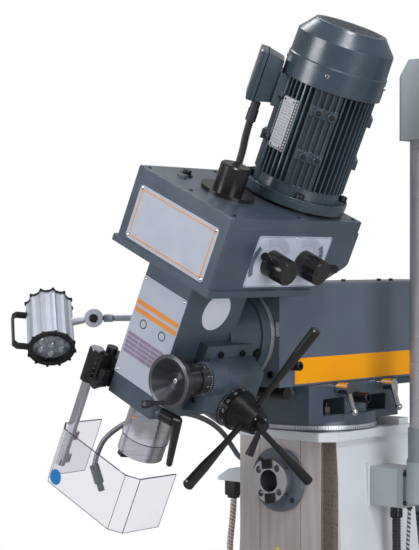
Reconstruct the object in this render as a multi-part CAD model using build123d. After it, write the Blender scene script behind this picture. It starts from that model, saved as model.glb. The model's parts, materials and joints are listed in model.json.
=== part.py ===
"""Universal knee-type milling machine.

A horizontal spindle runs in the column, and a vertical head hangs on a ram that a turret carries.
Millimetres. X points to the operator's right, Y to the back, Z up from the floor.
The origin is on the floor, straight below the turret's swivel axis.
The vertical head is drawn upright about its tilt axis and then tilted.
"""
import os
from math import atan2, cos, hypot, pi, radians, sin, tan

from build123d import *

os.makedirs("parts", exist_ok=True)

# Clearances
RUNNING = 0.2           # radial, shafts that turn or slide in a bore
SLIDING = 0.3           # flat ways and faces that move past each other
SEAT = 0.02             # pieces let into a pocket of the same body

# Base and column
BASE_WIDTH, BASE_FRONT, BASE_BACK, BASE_HEIGHT = 560, -620, 340, 130
ANCHOR_X, ANCHOR_FRONT, ANCHOR_BACK, ANCHOR_R = 235, -570, 290, 9
BASE_WALL, BASE_RIB, BASE_DECK = 45, 24, 36
NUT_TOWER_R, NUT_TOWER_TOP = 42, 400
COLUMN_FOOT_X, COLUMN_HEAD_X = 190, 118
COLUMN_FOOT_BACK, COLUMN_HEAD_BACK = 250, 165
COLUMN_WALL = 22
SHOULDER_Y, WAY_Y = -84, -115
WAY_X, WAY_NECK_X = 105, 82
WAY_BOTTOM = 190
WAY_GROOVE_X, WAY_GROOVE = 52, 2
DECK_TOP, DECK_RIM, DECK_THICK = 1290, 1272, 46
DECK_X, DECK_FRONT, DECK_CHAMFER = 128, -120, 26
STOP_BLOCK_Y, STOP_BLOCK_TOP = 132, 1302

# Horizontal spindle, ISO 40 nose
SPINDLE_Z, NOSE_Y = 1190, -150
NOSE_R, TAPER_R, TAPER_DEPTH, DRAWBAR_R = 44.45, 22.225, 65, 8.5
NOSE_PCD, NOSE_HOLE_R, NOSE_HOLE_DEPTH = 66.7, 7, 22
KEY_WIDTH, KEY_PROUD, KEY_SUNK, KEY_INNER = 15.9, 8, 8, 24.5
NOSE_TURN = 7.2
CAP_R, CAP_THICK = 64.5, 10
ARBOR_R, BEARING_R, BEARING_WIDTH, SPINDLE_BOSS_R = 35, 58, 25, 72
ARBOR_BACK, DRAWBAR_HOLE_R = 150, 24
TAIL_R, TAIL_BACK = 19, 164
SIDE_MOTOR_Z, SIDE_MOTOR_R, SIDE_MOTOR_LENGTH, SIDE_MOTOR_PAD = 1010, 80, 250, 205

# Readout post on the column's right side
BRACKET_X, BRACKET_OUT, BRACKET_Y, BRACKET_BACK = 128, 195, 16, 82
BRACKET_LOW, BRACKET_TOP = 1137, 1214
FOOT_THICK = 14
POST_X, POST_Y, POST_R, POST_TOP = 240, 32, 22, 1905
SOCKET_R, SOCKET_LOW, SOCKET_TOP = 28, 1150, 1232
ELBOW_LOW, ELBOW_TOP, ELBOW_R = 1867, 2025, 33
READOUT_REACH, READOUT_WIDTH, READOUT_HEIGHT, READOUT_DEPTH = 330, 300, 190, 60
ARM_R = 24

# Knee, saddle and table
KNEE_X, KNEE_FRONT, KNEE_LOW, KNEE_TOP, KNEE_WALL = 150, -640, 430, 730, 24
JAW_BACK = -87
KNEE_RAIL_X, KNEE_RAIL_NECK, RAIL_HEIGHT = 112, 96, 28
SCREW_Y, SCREW_R, SCREW_BOTTOM = -330, 18, 190
SADDLE_X, SADDLE_Y0, SADDLE_Y1, SADDLE_TOP = 170, -560, -262, 822
TABLE_LENGTH, TABLE_WIDTH, TABLE_TOP, TABLE_PLATE = 1000, 240, 890, 52
TABLE_KEEL, TABLE_KEEL_NECK, KEEL_HEIGHT = 84, 68, 30
SLOT_NECK, SLOT_NECK_DEPTH, SLOT_WIDE, SLOT_WIDE_DEPTH, SLOT_PITCH = 14, 16, 24, 10, 63
FEED_R, FEED_Z, END_BRACKET = 11, 824, 32
WHEEL_R, WHEEL_RIM_R, WHEEL_HUB_R = 80, 9, 22
CRANK_ARM, CRANK_X, CRANK_Z = 110, 108, 520
CROSS_X, CROSS_Z = -72, 648

# Turret
FLANGE_R, FLANGE_TOP = 127, 1325
TURRET_X, TURRET_FRONT, TURRET_BACK, TURRET_LOW, TURRET_TOP = 115, -166, 132, 1310, 1386.7
WINDOW_Y = ((-122, -52), (20, 88))
WINDOW_LOW, WINDOW_TOP, WINDOW_DEPTH = 1325, 1358, 62
BOLT_X, BOLT_Y, BOLT_R, BOLT_HEAD_R, NUT_R, NUT_HEIGHT = 77, 64, 6, 9.5, 11, 13
TEE_NECK, TEE_WIDE, TEE_DEPTH, TEE_HEAD = 7, 10.5, 16, 12
LEVER_Y, LEVER_Z, LEVER_LEAN, LEVER_ARM = (-80, 72), 1378, 26, 53
LEVER_BOSS_R, LEVER_SHANK_R, LEVER_OUT = 11, 5, 149
PINION_Y, PINION_Z, PINION_SHAFT_R, PINION_END_R, PINION_OUT = -18, 1356, 9, 10.5, 150
RACK_MODULE, PINION_TEETH, RACK_WIDTH, BACKLASH = 3, 16, 24, 1.0

# Ram
RAM_X, RAM_LOW, RAM_TOP, RAM_FRONT, RAM_BACK, RAM_WALL = 105, 1387, 1587, -198, 432, 24
RAM_FLANGE_FRONT = -245
KEEL_X, KEEL_NECK, KEEL_DEPTH, KEEL_CHANNEL = 80, 70, 18, 15
RACK_TOP = 1396
STOP_BAR_R, STOP_BAR_Y, STOP_BAR_Z = 12, -214, 1374
WORM_R, WORM_Y, WORM_Z, WORM_OUT = 9, -212, 1428, 131

# Vertical head, in its own upright frame about the tilt axis
TILT_Z, HEAD_TILT = 1488, 24.3
QUILL_Y = -414
CAST_X, CAST_FRONT, CAST_BACK, CAST_LOW, CAST_TOP = 61, -492, -335, -137, 141
SWIVEL_R, SWIVEL_BACK = 95, -245.3
BOX_X, BOX_FRONT, BOX_BACK, BOX_TOP, BOX_WALL = 125, -527, -153, 268, 10
BOX_LIP, BOX_LIP_HEIGHT, BOX_LIP_BACK = 4, 13, -246
BOX_RISE, BOX_REAR_LOW = 151, 197
COVER_TOP = 291
QUILL_R, QUILL_BORE, QUILL_LOW, QUILL_TOP = 46, 38, -212, 95
SPINDLE_LOW, SPINDLE_R, SPLINE_R, SPLINE_TOP = -247, 30, 20, 330
SLEEVE_R, SLEEVE_LOW, SLEEVE_TOP = 34, 144, 285
GEAR_MODULE, ROTOR_TEETH, SLEEVE_TEETH, GEAR_LOW, GEAR_WIDTH = 6, 25, 32, 217, 24
CAP_FLANGE_R, CAP_FLANGE, DRAWBAR_CAP_R, DRAWBAR_CAP_TOP = 51.5, 7, 28.5, 346

# Motor on the head
MOTOR_X = 15
MOTOR_Y = QUILL_Y + (((ROTOR_TEETH + SLEEVE_TEETH) * GEAR_MODULE / 2) ** 2 - MOTOR_X ** 2) ** 0.5
MOTOR_FLANGE_R, MOTOR_FLANGE_LOW, MOTOR_FLANGE_TOP, MOTOR_SPIGOT_R = 102, 297, 311, 78
MOTOR_CORE_R, FIN_R, FINS, FIN_THICK, FIN_LOW, FIN_TOP = 74, 88, 48, 3.2, 334, 527
MOTOR_BORE_R, MOTOR_SHAFT_R, ROTOR_R = 60, 14, 58
COVER_R, COVER_WALL, FAN_COVER_TOP, COVER_STEP_Z, COVER_CONE_Z, COVER_CONE_R = 95, 2.5, 632, 562, 604, 68
FAN_R = 80
PAD_ANGLES, PAD_HEIGHTS, PAD_WIDTH, PAD_REACH = (40, -62, 132), (394, 478), 50, 92
TERMINAL_TURN, TERMINAL_IN, TERMINAL_OUT, TERMINAL_WIDTH = -48, 98, 146, 96
TERMINAL_LOW, TERMINAL_TOP = 447, 552
CONDUIT_R, CONDUIT_ROOT, CONDUIT_BORE, CONDUIT_PITCH = 7.5, 6.2, 4.6, 4.4

# Feed housing, capstan, fine feed and quill lock
FEED_X, FEED_FRONT, FEED_BACK, FEED_LOW, FEED_TOP, FEED_DROP = 126, -412, -292, -132, 7, 27
BAR_OUT, BAR_FRONT, BAR_BACK, BAR_LOW, BAR_TOP, BAR_SCREW_R = 83, -425, -294, -16, 20, 6
CAPSTAN_Y, CAPSTAN_Z, CAPSTAN_BOSS_R, CAPSTAN_SHAFT_R = -354, -84.5, 42.5, 14
DIAL_R, DIAL_OUT, HUB_R, HUB_END_R, HUB_OUT = 40, 147, 37, 23.5, 196
HANDLE_PHASES, HANDLE_LEAN, HANDLE_LENGTH = (84.5, 204.5, 324.5), 16.6, 203
HANDLE_ROOT_R, HANDLE_END_R = 5.4, 10.2
HANDLE_X, HANDLE_IN = 170, 16
FINE_X, FINE_Z, FINE_BOSS_R, FINE_DIAL_R, FINE_RIM_R, FINE_SHAFT_R = 104, -34, 32, 30, 49, 9
FINE_DISH_R, FINE_HUB_R, FINE_GRIP = 42, 17, 53
FINE_BACK, FINE_FRONT = -440, -530
LOCK_Y, LOCK_Z, LOCK_LEAN, LOCK_BOSS_R, LOCK_SHAFT_R = -473, -124, 16, 12, 6
LOCK_PAD, LOCK_OUT, LOCK_BEND, LOCK_TIP = 5, 32, (92, -452, -126), (92, -434, -218)
KNOB_Y, KNOB_Z, KNOB_R, KNOB_OUT, KNOB_SHAFT_R = (-388, -295), 208, 26.5, 174, 8
KNOB_POINT = (60, 185)

# Guard in front of the quill
GUARD_X, GUARD_Y, GUARD_ROD_R, BARREL_R, BARREL_TOP, BARREL_LOW = -97, -512, 9.5, 15, -70, -135
BARREL_GROOVES, BARREL_GROOVE, THUMB_R = 5, 0.8, 10
GUARD_ROD_LOW = -315
SCREEN_TOP, SCREEN_LOW, SCREEN_FRONT, SCREEN_X, SCREEN_BACK = -232, -346, -542, 110, -425
SCREEN_CHAMFER, SCREEN_THICK = 21, 3

# Lamp on the head's left side, placed in the machine's frame
LAMP_ROOT, LAMP_KNUCKLE, LAMP_CENTRE = (-112, -306, 1517), (-225, -417, 1517), (-289, -474, 1502)
LAMP_DIR, KNUCKLE_DIR = (0.564, -0.461, -0.686), (0.665, -0.747, 0)
LAMP_R, LAMP_RIBS, LAMP_BACK, LAMP_FRONT, LAMP_RIM = 42, 12, -52, 59, 5
LENS_BACK, LENS_FRONT, LED_R, LED_REACH = 45, 52, 10.5, 24
KNUCKLE_R, KNUCKLE_THICK, LAMP_TUBE_R, LAMP_SLEEVE_R, LAMP_NECK_R = 18, 9, 6, 8, 4.4
LAMP_PIVOT_R, LAMP_PIVOT_HEIGHT, LAMP_HANDLE_TURN = 12, 30, 82
HANDLE_STRIP, HANDLE_FROM, HANDLE_REACH = 4, 28, 34

# Hoses: routes chosen by hand, start to end
COOLANT_R, COOLANT_BORE = 5.5, 4
VALVE_Y, VALVE_Z = 110, 1350
COOLANT_ROUTE = ((-192, 110, 1326), (-192, 110, 1274), (-190, 70, 1228), (-184, 14, 1202), (-172, -36, 1208),
                 (-164, -72, 1239), (-160, -109, 1275), (-158, -158, 1302), (-156, -214, 1319),
                 (-158, -268, 1327), (-175, -322, 1323), (-211, -362, 1302), (-247, -387, 1261),
                 (-250, -391, 1213))
NOZZLE_LENGTH = 34
FOOT_CONDUIT_R, FOOT_CONDUIT_ROOT, FOOT_CONDUIT_BORE, FOOT_CONDUIT_PITCH = 9, 7.4, 6, 5.8
FOOT_ROUTE = ((170, 49, 1112), (170, 49, 1058), (172, 49, 998), (178, 49, 939), (185, 49, 880), (186, 49, 821),
              (178, 49, 766), (149, 49, 720))
CABLE_R = 3.8
CABLE_ROUTE = ((193, 62, 1129), (190, 63, 1085), (186, 65, 1040), (190, 66, 990), (198, 67, 935), (203, 66, 880),
               (204, 66, 825), (199, 66, 770), (180, 66, 722), (150, 66, 688))
SIDE_HOSE_R, SIDE_HOSE_ROOT, SIDE_HOSE_BORE, SIDE_HOSE_PITCH = 7, 5.8, 4.4, 5
SIDE_ROUTE = ((-166, -64, 1136), (-168, -64, 1100), (-175, -62, 1062), (-183, -58, 1024), (-186, -52, 986),
              (-181, -46, 948), (-163, -41, 914), (-139, -37, 884))
PLUG_IN, PLUG_OUT, PLUG_TOP, PLUG_HALF = -153, -181, 1167, 13
EAR_OUT, EAR_TIP, EAR_BACK, EAR_TOP, EAR_HALF = -198, 1174, -168, 1193, 15
HOSE_TAIL = 30


def block(x0, x1, y0, y1, z0, z1):
    """Box between two corners."""
    return Pos((x0 + x1) / 2, (y0 + y1) / 2, (z0 + z1) / 2) * Box(x1 - x0, y1 - y0, z1 - z0)


def rod(radius, start, end):
    """Round bar from start to end."""
    run = Vector(*end) - Vector(*start)
    bar = Cylinder(radius, run.length, align=(Align.CENTER, Align.CENTER, Align.MIN))
    return Plane(origin=start, z_dir=run) * bar


def taper(start_radius, end_radius, start, end):
    """Tapered round bar from start to end."""
    run = Vector(*end) - Vector(*start)
    bar = Cone(start_radius, end_radius, run.length, align=(Align.CENTER, Align.CENTER, Align.MIN))
    return Plane(origin=start, z_dir=run) * bar


def turned(profile, origin, direction):
    """Solid of revolution from (distance along the axis, radius) points."""
    outline = Polygon(*[(radius, along) for along, radius in profile], align=None)
    return Plane(origin=origin, z_dir=direction) * revolve(Plane.XZ * outline, Axis.Z, 360)


def plan(points, z0, z1):
    """Outline in X and Y, raised from z0 to z1."""
    return Pos(0, 0, z0) * extrude(Polygon(*points, align=None), z1 - z0)


def profile_along_x(points, x0, x1):
    """Outline in Y and Z, run from x0 to x1."""
    return Pos(x0, 0, 0) * extrude(Plane.YZ * Polygon(*points, align=None), x1 - x0)


def profile_along_y(points, y0, y1):
    """Outline in X and Z, run from y0 to y1."""
    face = Plane(origin=(0, y1, 0), x_dir=(1, 0, 0), z_dir=(0, -1, 0)) * Polygon(*points, align=None)
    return extrude(face, y1 - y0)


def between(low, high, z_low, z_high):
    """Tapered box between two plan rectangles, each (half width, front, back)."""
    faces = []
    for (half, front, back), z in ((low, z_low), (high, z_high)):
        faces.append(Pos(0, (front + back) / 2, z) * Rectangle(2 * half, back - front))
    return loft(faces, ruled=True)


def gear(module, teeth, width, phase):
    """Spur gear on the Z axis with a tooth centred at the phase angle in radians."""
    pitch_r = module * teeth / 2
    half = module * pi / 4 - BACKLASH / 2
    slope = tan(radians(20))
    steps = ((pitch_r - 1.15 * module, half + 0.9 * module * slope), (pitch_r + 0.85 * module, half - 0.85 * module * slope))
    points = []
    for tooth in range(teeth):
        middle = phase + 2 * pi * tooth / teeth
        for (radius, offset), side in ((steps[0], -1), (steps[1], -1), (steps[1], 1), (steps[0], 1)):
            angle = middle + side * offset / radius
            points.append((radius * cos(angle), radius * sin(angle)))
    return extrude(Polygon(*points, align=None), width)


def corner_radii(points):
    """Bend radius at each inner point of a hose's route, as large as its runs allow."""
    vectors = [Vector(*point) for point in points]
    radii = []
    for before, here, after in zip(vectors, vectors[1:], vectors[2:]):
        turn = radians((here - before).get_angle(after - here))
        shorter = min((here - before).length, (after - here).length)
        radii.append(0.45 * shorter / tan(turn / 2))
    return radii


def route(points, name):
    """Path of straight runs joined by tangent arcs."""
    radii = corner_radii(points)
    path = FilletPolyline(*points, radius=radii)
    print(name, "length", round(path.length), "bend radii", [round(radius) for radius in radii])
    return path


def hose(path, radius):
    """Round tube along a path, without its bore."""
    start = Plane(origin=path @ 0, z_dir=path % 0)
    return sweep(start * Circle(radius), path)


def ribbed(path, crest, root, bore, pitch, tail):
    """Ribbed hose: a plain end one diameter long, ribs of four circles each, a plain tail and a bore."""
    steady = Vector(0, 1, 0)
    first = 2 * crest
    ribs = int((path.length - first - tail) // pitch)
    stations = [(0, root)]
    for rib in range(ribs):
        place = first + rib * pitch
        for share, radius in ((0.05, root), (0.3, crest), (0.7, crest), (0.95, root)):
            stations.append((place + share * pitch, radius))
    stations.append((path.length, root))
    circles = []
    for place, radius in stations:
        share = place / path.length
        frame = Plane(origin=path @ share, x_dir=steady, z_dir=path % share)
        circles.append(frame * Circle(radius))
    return loft(circles, ruled=True) - hose(path, bore)


def gland(radius, start, end):
    """Screwed cable gland: hexagon body and dome nut."""
    run = Vector(*end) - Vector(*start)
    length = run.length
    body = extrude(RegularPolygon(radius, 6), length * 0.45)
    nut = Pos(0, 0, length * 0.45) * Cylinder(radius * 0.86, length * 0.55,
                                              align=(Align.CENTER, Align.CENTER, Align.MIN))
    return Plane(origin=start, z_dir=run) * (body + nut)


# Base and column

def make_base():
    half = BASE_WIDTH / 2
    base = block(-half, half, BASE_FRONT, BASE_BACK, 0, BASE_HEIGHT)
    base = fillet(base.edges().filter_by(Axis.Z), 50)
    base = fillet(base.faces().sort_by(Axis.Z)[-1].edges(), 12)
    columns, rows = 4, 5
    pocket_x = (BASE_WIDTH - 2 * BASE_WALL - (columns - 1) * BASE_RIB) / columns
    pocket_y = (BASE_BACK - BASE_FRONT - 2 * BASE_WALL - (rows - 1) * BASE_RIB) / rows
    tower = rod(NUT_TOWER_R, (0, SCREW_Y, BASE_HEIGHT - BASE_DECK), (0, SCREW_Y, NUT_TOWER_TOP))
    for column in range(columns):
        for row in range(rows):
            x0 = -half + BASE_WALL + column * (pocket_x + BASE_RIB)
            y0 = BASE_FRONT + BASE_WALL + row * (pocket_y + BASE_RIB)
            base -= block(x0, x0 + pocket_x, y0, y0 + pocket_y, 0, BASE_HEIGHT - BASE_DECK)
    base += tower
    base -= rod(SCREW_R + RUNNING, (0, SCREW_Y, 20), (0, SCREW_Y, NUT_TOWER_TOP))
    for x in (-ANCHOR_X, ANCHOR_X):
        for y in (ANCHOR_FRONT, ANCHOR_BACK):
            base += rod(30, (x, y, 0), (x, y, BASE_HEIGHT - BASE_DECK))
            base -= rod(ANCHOR_R, (x, y, 0), (x, y, BASE_HEIGHT))
    return base


def way_outline(gap):
    """Dovetail of the column's front ways, in plan, grown by a gap."""
    wide, neck = WAY_X + gap, WAY_NECK_X + gap
    return ((-wide, WAY_Y - gap), (wide, WAY_Y - gap), (neck, SHOULDER_Y + 4), (-neck, SHOULDER_Y + 4))


def hose_entry(points, radius):
    """Hole that takes the tail of a hose, with clearance around it."""
    before, end = Vector(*points[-2]), Vector(*points[-1])
    along = (end - before).normalized()
    return rod(radius + SLIDING, end - along * HOSE_TAIL, end + along * 3)


def make_column():
    body = between((COLUMN_FOOT_X, SHOULDER_Y, COLUMN_FOOT_BACK), (COLUMN_HEAD_X, SHOULDER_Y, COLUMN_HEAD_BACK),
                   BASE_HEIGHT, DECK_RIM)
    inner_foot = (COLUMN_FOOT_X - COLUMN_WALL, SHOULDER_Y + COLUMN_WALL, COLUMN_FOOT_BACK - COLUMN_WALL)
    inner_head = (COLUMN_HEAD_X - COLUMN_WALL, SHOULDER_Y + COLUMN_WALL, COLUMN_HEAD_BACK - COLUMN_WALL)
    body -= between(inner_foot, inner_head, BASE_HEIGHT, DECK_TOP - DECK_THICK)
    body += between((9, SHOULDER_Y + 8, COLUMN_FOOT_BACK - 8), (9, SHOULDER_Y + 8, COLUMN_HEAD_BACK - 8),
                    BASE_HEIGHT, DECK_RIM)
    body += plan(way_outline(0), WAY_BOTTOM, DECK_RIM)
    rim_x, rim_y = DECK_X - DECK_CHAMFER, DECK_FRONT + DECK_CHAMFER
    rim = ((-rim_x, DECK_FRONT), (rim_x, DECK_FRONT), (DECK_X, rim_y), (DECK_X, COLUMN_HEAD_BACK),
           (-DECK_X, COLUMN_HEAD_BACK), (-DECK_X, rim_y))
    body += plan(rim, DECK_RIM, DECK_TOP)
    body += block(-COLUMN_HEAD_X, COLUMN_HEAD_X, STOP_BLOCK_Y, COLUMN_HEAD_BACK, DECK_RIM, STOP_BLOCK_TOP)
    body += block(COLUMN_HEAD_X - 12, BRACKET_X, BRACKET_Y - 6, BRACKET_BACK + 6, BRACKET_LOW - 6, BRACKET_TOP + 6)
    body += rod(SPINDLE_BOSS_R, (0, SHOULDER_Y, SPINDLE_Z), (0, COLUMN_HEAD_BACK - 4, SPINDLE_Z))
    body += block(-95, 95, COLUMN_HEAD_BACK + 8, SIDE_MOTOR_PAD, SIDE_MOTOR_Z - 95, SIDE_MOTOR_Z + 95)
    plug_y = SIDE_ROUTE[0][1]
    body += profile_along_y(((-COLUMN_HEAD_X + 8, PLUG_TOP), (-COLUMN_HEAD_X + 8, EAR_TOP), (EAR_BACK, EAR_TOP),
                             (EAR_OUT, EAR_TIP), (EAR_OUT, PLUG_TOP)), plug_y - EAR_HALF, plug_y + EAR_HALF)
    for points, radius in ((FOOT_ROUTE, FOOT_CONDUIT_ROOT), (CABLE_ROUTE, CABLE_R), (SIDE_ROUTE, SIDE_HOSE_ROOT)):
        body -= hose_entry(points, radius)
    for x in (-WAY_GROOVE_X, WAY_GROOVE_X):
        body -= block(x - WAY_GROOVE / 2, x + WAY_GROOVE / 2, WAY_Y, WAY_Y + WAY_GROOVE, WAY_BOTTOM, DECK_RIM)
    race, bore, back = BEARING_R + SEAT, ARBOR_R + 5, ARBOR_BACK - WAY_Y
    rear = back - BEARING_WIDTH - 6
    body -= turned(((-1, 0), (-1, race), (BEARING_WIDTH, race), (BEARING_WIDTH, bore), (rear, bore), (rear, race),
                    (back + 4, race), (back + 4, DRAWBAR_HOLE_R), (back + 60, DRAWBAR_HOLE_R), (back + 60, 0)),
                   (0, WAY_Y, SPINDLE_Z), (0, 1, 0))
    slot_r = hypot(BOLT_X, BOLT_Y)
    low, middle, top = DECK_TOP - TEE_DEPTH - TEE_HEAD, DECK_TOP - TEE_DEPTH, DECK_TOP + 1
    body -= turned(((low, slot_r - TEE_WIDE), (low, slot_r + TEE_WIDE), (middle, slot_r + TEE_WIDE),
                    (middle, slot_r + TEE_NECK), (top, slot_r + TEE_NECK), (top, slot_r - TEE_NECK),
                    (middle, slot_r - TEE_NECK), (middle, slot_r - TEE_WIDE)), (0, 0, 0), (0, 0, 1))
    return body


def make_bearing_cap():
    back = (0, WAY_Y, SPINDLE_Z)
    ring = rod(CAP_R, back, (0, WAY_Y - CAP_THICK, SPINDLE_Z))
    ring = chamfer(ring.faces().sort_by(Axis.Y)[0].edges(), 1.5)
    return ring - rod(ARBOR_R + 1.5, back, (0, WAY_Y - CAP_THICK, SPINDLE_Z))


def make_horizontal_bearings():
    rings = []
    for front in (WAY_Y, ARBOR_BACK - BEARING_WIDTH - 6):
        start, end = (0, front, SPINDLE_Z), (0, front + BEARING_WIDTH, SPINDLE_Z)
        rings.append(rod(BEARING_R, start, end) - rod(ARBOR_R + RUNNING, start, end))
    return Compound(rings)


def nose_profile(nose_length, journal_r, length):
    """Spindle with a flanged nose, a 7:24 taper bore and a drawbar hole, from the nose face inwards."""
    deep_r = TAPER_R - TAPER_DEPTH * 7 / 48
    return ((0, TAPER_R), (0, NOSE_R - 1), (1, NOSE_R), (nose_length, NOSE_R), (nose_length, journal_r),
            (length, journal_r), (length, DRAWBAR_R), (TAPER_DEPTH, DRAWBAR_R), (TAPER_DEPTH, deep_r))


def nose_cuts(clearance):
    """Bolt holes and key slots of a spindle nose whose face is at Z = 0 with the spindle going up."""
    cuts = []
    for step in range(4):
        angle = radians(45 + 90 * step)
        x, y = NOSE_PCD / 2 * cos(angle), NOSE_PCD / 2 * sin(angle)
        cuts.append(rod(NOSE_HOLE_R, (x, y, 0), (x, y, NOSE_HOLE_DEPTH)))
    cuts += nose_keys(clearance, 0)
    return cuts


def nose_keys(clearance, proud):
    """The two drive keys, or their slots when they have clearance and don't stand proud."""
    half = KEY_WIDTH / 2 + clearance
    keys = []
    for side in (-1, 1):
        inner, outer = sorted((side * (KEY_INNER - clearance), side * (NOSE_R - 0.5 + clearance)))
        keys.append(block(inner, outer, -half, half, -proud, KEY_SUNK + clearance))
    return keys


def horizontal_frame():
    """Nose face of the horizontal spindle, with the spindle going back."""
    turn = radians(90 + NOSE_TURN)
    return Plane(origin=(0, NOSE_Y, SPINDLE_Z), x_dir=(cos(turn), 0, sin(turn)), z_dir=(0, 1, 0))


def make_horizontal_spindle():
    nose_length = WAY_Y - CAP_THICK - NOSE_Y - SLIDING
    length, tail_end = ARBOR_BACK - NOSE_Y, TAIL_BACK - NOSE_Y
    body = turned(nose_profile(nose_length, ARBOR_R, length), (0, 0, 0), (0, 0, 1))
    body += rod(TAIL_R, (0, 0, length), (0, 0, tail_end)) - rod(DRAWBAR_R, (0, 0, length), (0, 0, tail_end))
    for cut in nose_cuts(SEAT):
        body -= cut
    return horizontal_frame() * body


def make_horizontal_keys():
    return horizontal_frame() * Compound(nose_keys(0, KEY_PROUD))


def fin_ring(core, tip, fins, thick, z0, z1):
    """Finned cylinder on the Z axis."""
    points = []
    for fin in range(fins):
        middle = 2 * pi * fin / fins
        for radius, side in ((core, -1), (tip, -1), (tip, 1), (core, 1)):
            angle = middle + side * thick / 2 / radius
            points.append((radius * cos(angle), radius * sin(angle)))
    return plan(points, z0, z1)


def make_horizontal_motor():
    length = SIDE_MOTOR_LENGTH
    body = Cylinder(SIDE_MOTOR_R, 14, align=(Align.CENTER, Align.CENTER, Align.MIN))
    body += fin_ring(SIDE_MOTOR_R - 13, SIDE_MOTOR_R, 36, 3.5, 14, length - 60)
    body += turned(((length - 60, 0), (length - 60, SIDE_MOTOR_R + 4), (length - 16, SIDE_MOTOR_R + 4),
                    (length, SIDE_MOTOR_R - 18), (length, 0)), (0, 0, 0), (0, 0, 1))
    body += block(-40, 40, SIDE_MOTOR_R - 16, SIDE_MOTOR_R + 34, 60, 150)
    place = Plane(origin=(0, SIDE_MOTOR_PAD, SIDE_MOTOR_Z), x_dir=(1, 0, 0), z_dir=(0, 1, 0))
    return place * Rot(0, 0, 180) * body


# Readout post, arm and panel

def make_post_bracket():
    box = block(BRACKET_X, BRACKET_OUT, BRACKET_Y, BRACKET_BACK, BRACKET_LOW, BRACKET_TOP)
    return fillet(box.edges().filter_by(Axis.Z).sort_by(Axis.X)[-2:], 2)


def make_post_foot():
    plate_out = BRACKET_OUT + FOOT_THICK
    plate = block(BRACKET_OUT, plate_out, BRACKET_Y, BRACKET_BACK, BRACKET_LOW, BRACKET_TOP)
    plate -= block(plate_out - 5, plate_out, BRACKET_Y + 8, BRACKET_BACK, BRACKET_LOW + 22, BRACKET_TOP - 22)
    neck = profile_along_y(((plate_out - 5, BRACKET_LOW + 6), (POST_X, SOCKET_LOW), (POST_X, SOCKET_TOP - 14),
                            (plate_out - 5, BRACKET_TOP - 8)), POST_Y - 12, POST_Y + 16)
    foot = plate + neck + rod(SOCKET_R, (POST_X, POST_Y, SOCKET_LOW), (POST_X, POST_Y, SOCKET_TOP))
    return foot - rod(POST_R + SEAT, (POST_X, POST_Y, SOCKET_LOW + 14), (POST_X, POST_Y, SOCKET_TOP))


def make_readout_post():
    low = (POST_X, POST_Y, SOCKET_LOW + 14)
    return rod(POST_R, low, (POST_X, POST_Y, POST_TOP)) - rod(POST_R - 3, low, (POST_X, POST_Y, POST_TOP))


def make_readout_arm():
    slope = ELBOW_TOP - 38
    elbow = profile_along_y(((POST_X - ELBOW_R, ELBOW_LOW), (POST_X + ELBOW_R + 18, ELBOW_LOW),
                             (POST_X + ELBOW_R + 18, ELBOW_TOP), (POST_X - ELBOW_R + 26, ELBOW_TOP),
                             (POST_X - ELBOW_R, slope)), POST_Y - ELBOW_R, POST_Y + ELBOW_R)
    elbow = fillet(elbow.edges().filter_by(Axis.Z), 9)
    arm_z = (POST_TOP + ELBOW_TOP) / 2
    reach = POST_X + READOUT_REACH
    arm = rod(ARM_R, (POST_X, POST_Y, arm_z), (reach + 40, POST_Y, arm_z))
    hanger = block(reach - 22, reach + 22, POST_Y - 22, POST_Y + 22, arm_z - 66, arm_z)
    elbow += arm + hanger
    return elbow - rod(POST_R + RUNNING, (POST_X, POST_Y, ELBOW_LOW), (POST_X, POST_Y, POST_TOP + SLIDING))


def make_readout_panel():
    reach = POST_X + READOUT_REACH
    top = (POST_TOP + ELBOW_TOP) / 2 - 66
    half = READOUT_WIDTH / 2
    front = POST_Y - READOUT_DEPTH / 2
    panel = block(reach - half, reach + half, front, front + READOUT_DEPTH, top - READOUT_HEIGHT, top)
    panel = fillet(panel.edges().filter_by(Axis.Y), 10)
    screen = block(reach - half + 18, reach + 44, front, front + 3, top - 112, top - 20)
    keys = block(reach + 58, reach + half - 18, front, front + 2, top - READOUT_HEIGHT + 24, top - 20)
    return panel - screen - keys


# Knee, saddle and table

def make_knee():
    body = block(-KNEE_X, KNEE_X, KNEE_FRONT, JAW_BACK, KNEE_LOW, KNEE_TOP)
    body = chamfer(body.edges().filter_by(Axis.X).sort_by(Axis.Y)[:2].sort_by(Axis.Z)[:1], 150, 90)
    body -= plan(way_outline(SLIDING), KNEE_LOW, KNEE_TOP)
    inner = KNEE_X - KNEE_WALL
    pocket = ((KNEE_FRONT + 190, KNEE_LOW), (KNEE_FRONT + KNEE_WALL, KNEE_LOW + 190),
              (KNEE_FRONT + KNEE_WALL, KNEE_TOP - 40), (WAY_Y - KNEE_WALL, KNEE_TOP - 40), (WAY_Y - KNEE_WALL, KNEE_LOW))
    body -= profile_along_x(pocket, -inner, -9) + profile_along_x(pocket, 9, inner)
    body -= rod(NUT_TOWER_R + 6, (0, SCREW_Y, KNEE_LOW), (0, SCREW_Y, KNEE_TOP - 40))
    body += profile_along_y(((-KNEE_RAIL_NECK, KNEE_TOP), (KNEE_RAIL_NECK, KNEE_TOP),
                             (KNEE_RAIL_X, KNEE_TOP + RAIL_HEIGHT), (-KNEE_RAIL_X, KNEE_TOP + RAIL_HEIGHT)),
                            KNEE_FRONT, WAY_Y - 30)
    for x, z, r in ((CROSS_X, CROSS_Z, FEED_R), (CRANK_X, CRANK_Z, FEED_R)):
        y_in = KNEE_FRONT + KNEE_WALL + 36
        body += rod(30, (x, KNEE_FRONT - 16, z), (x, y_in, z))
        body -= rod(r + RUNNING, (x, KNEE_FRONT - 16, z), (x, y_in, z))
    seat = (0, SCREW_Y, KNEE_TOP - 40)
    return body - rod(SCREW_R + RUNNING, seat, (0, SCREW_Y, KNEE_TOP - 12))


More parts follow.
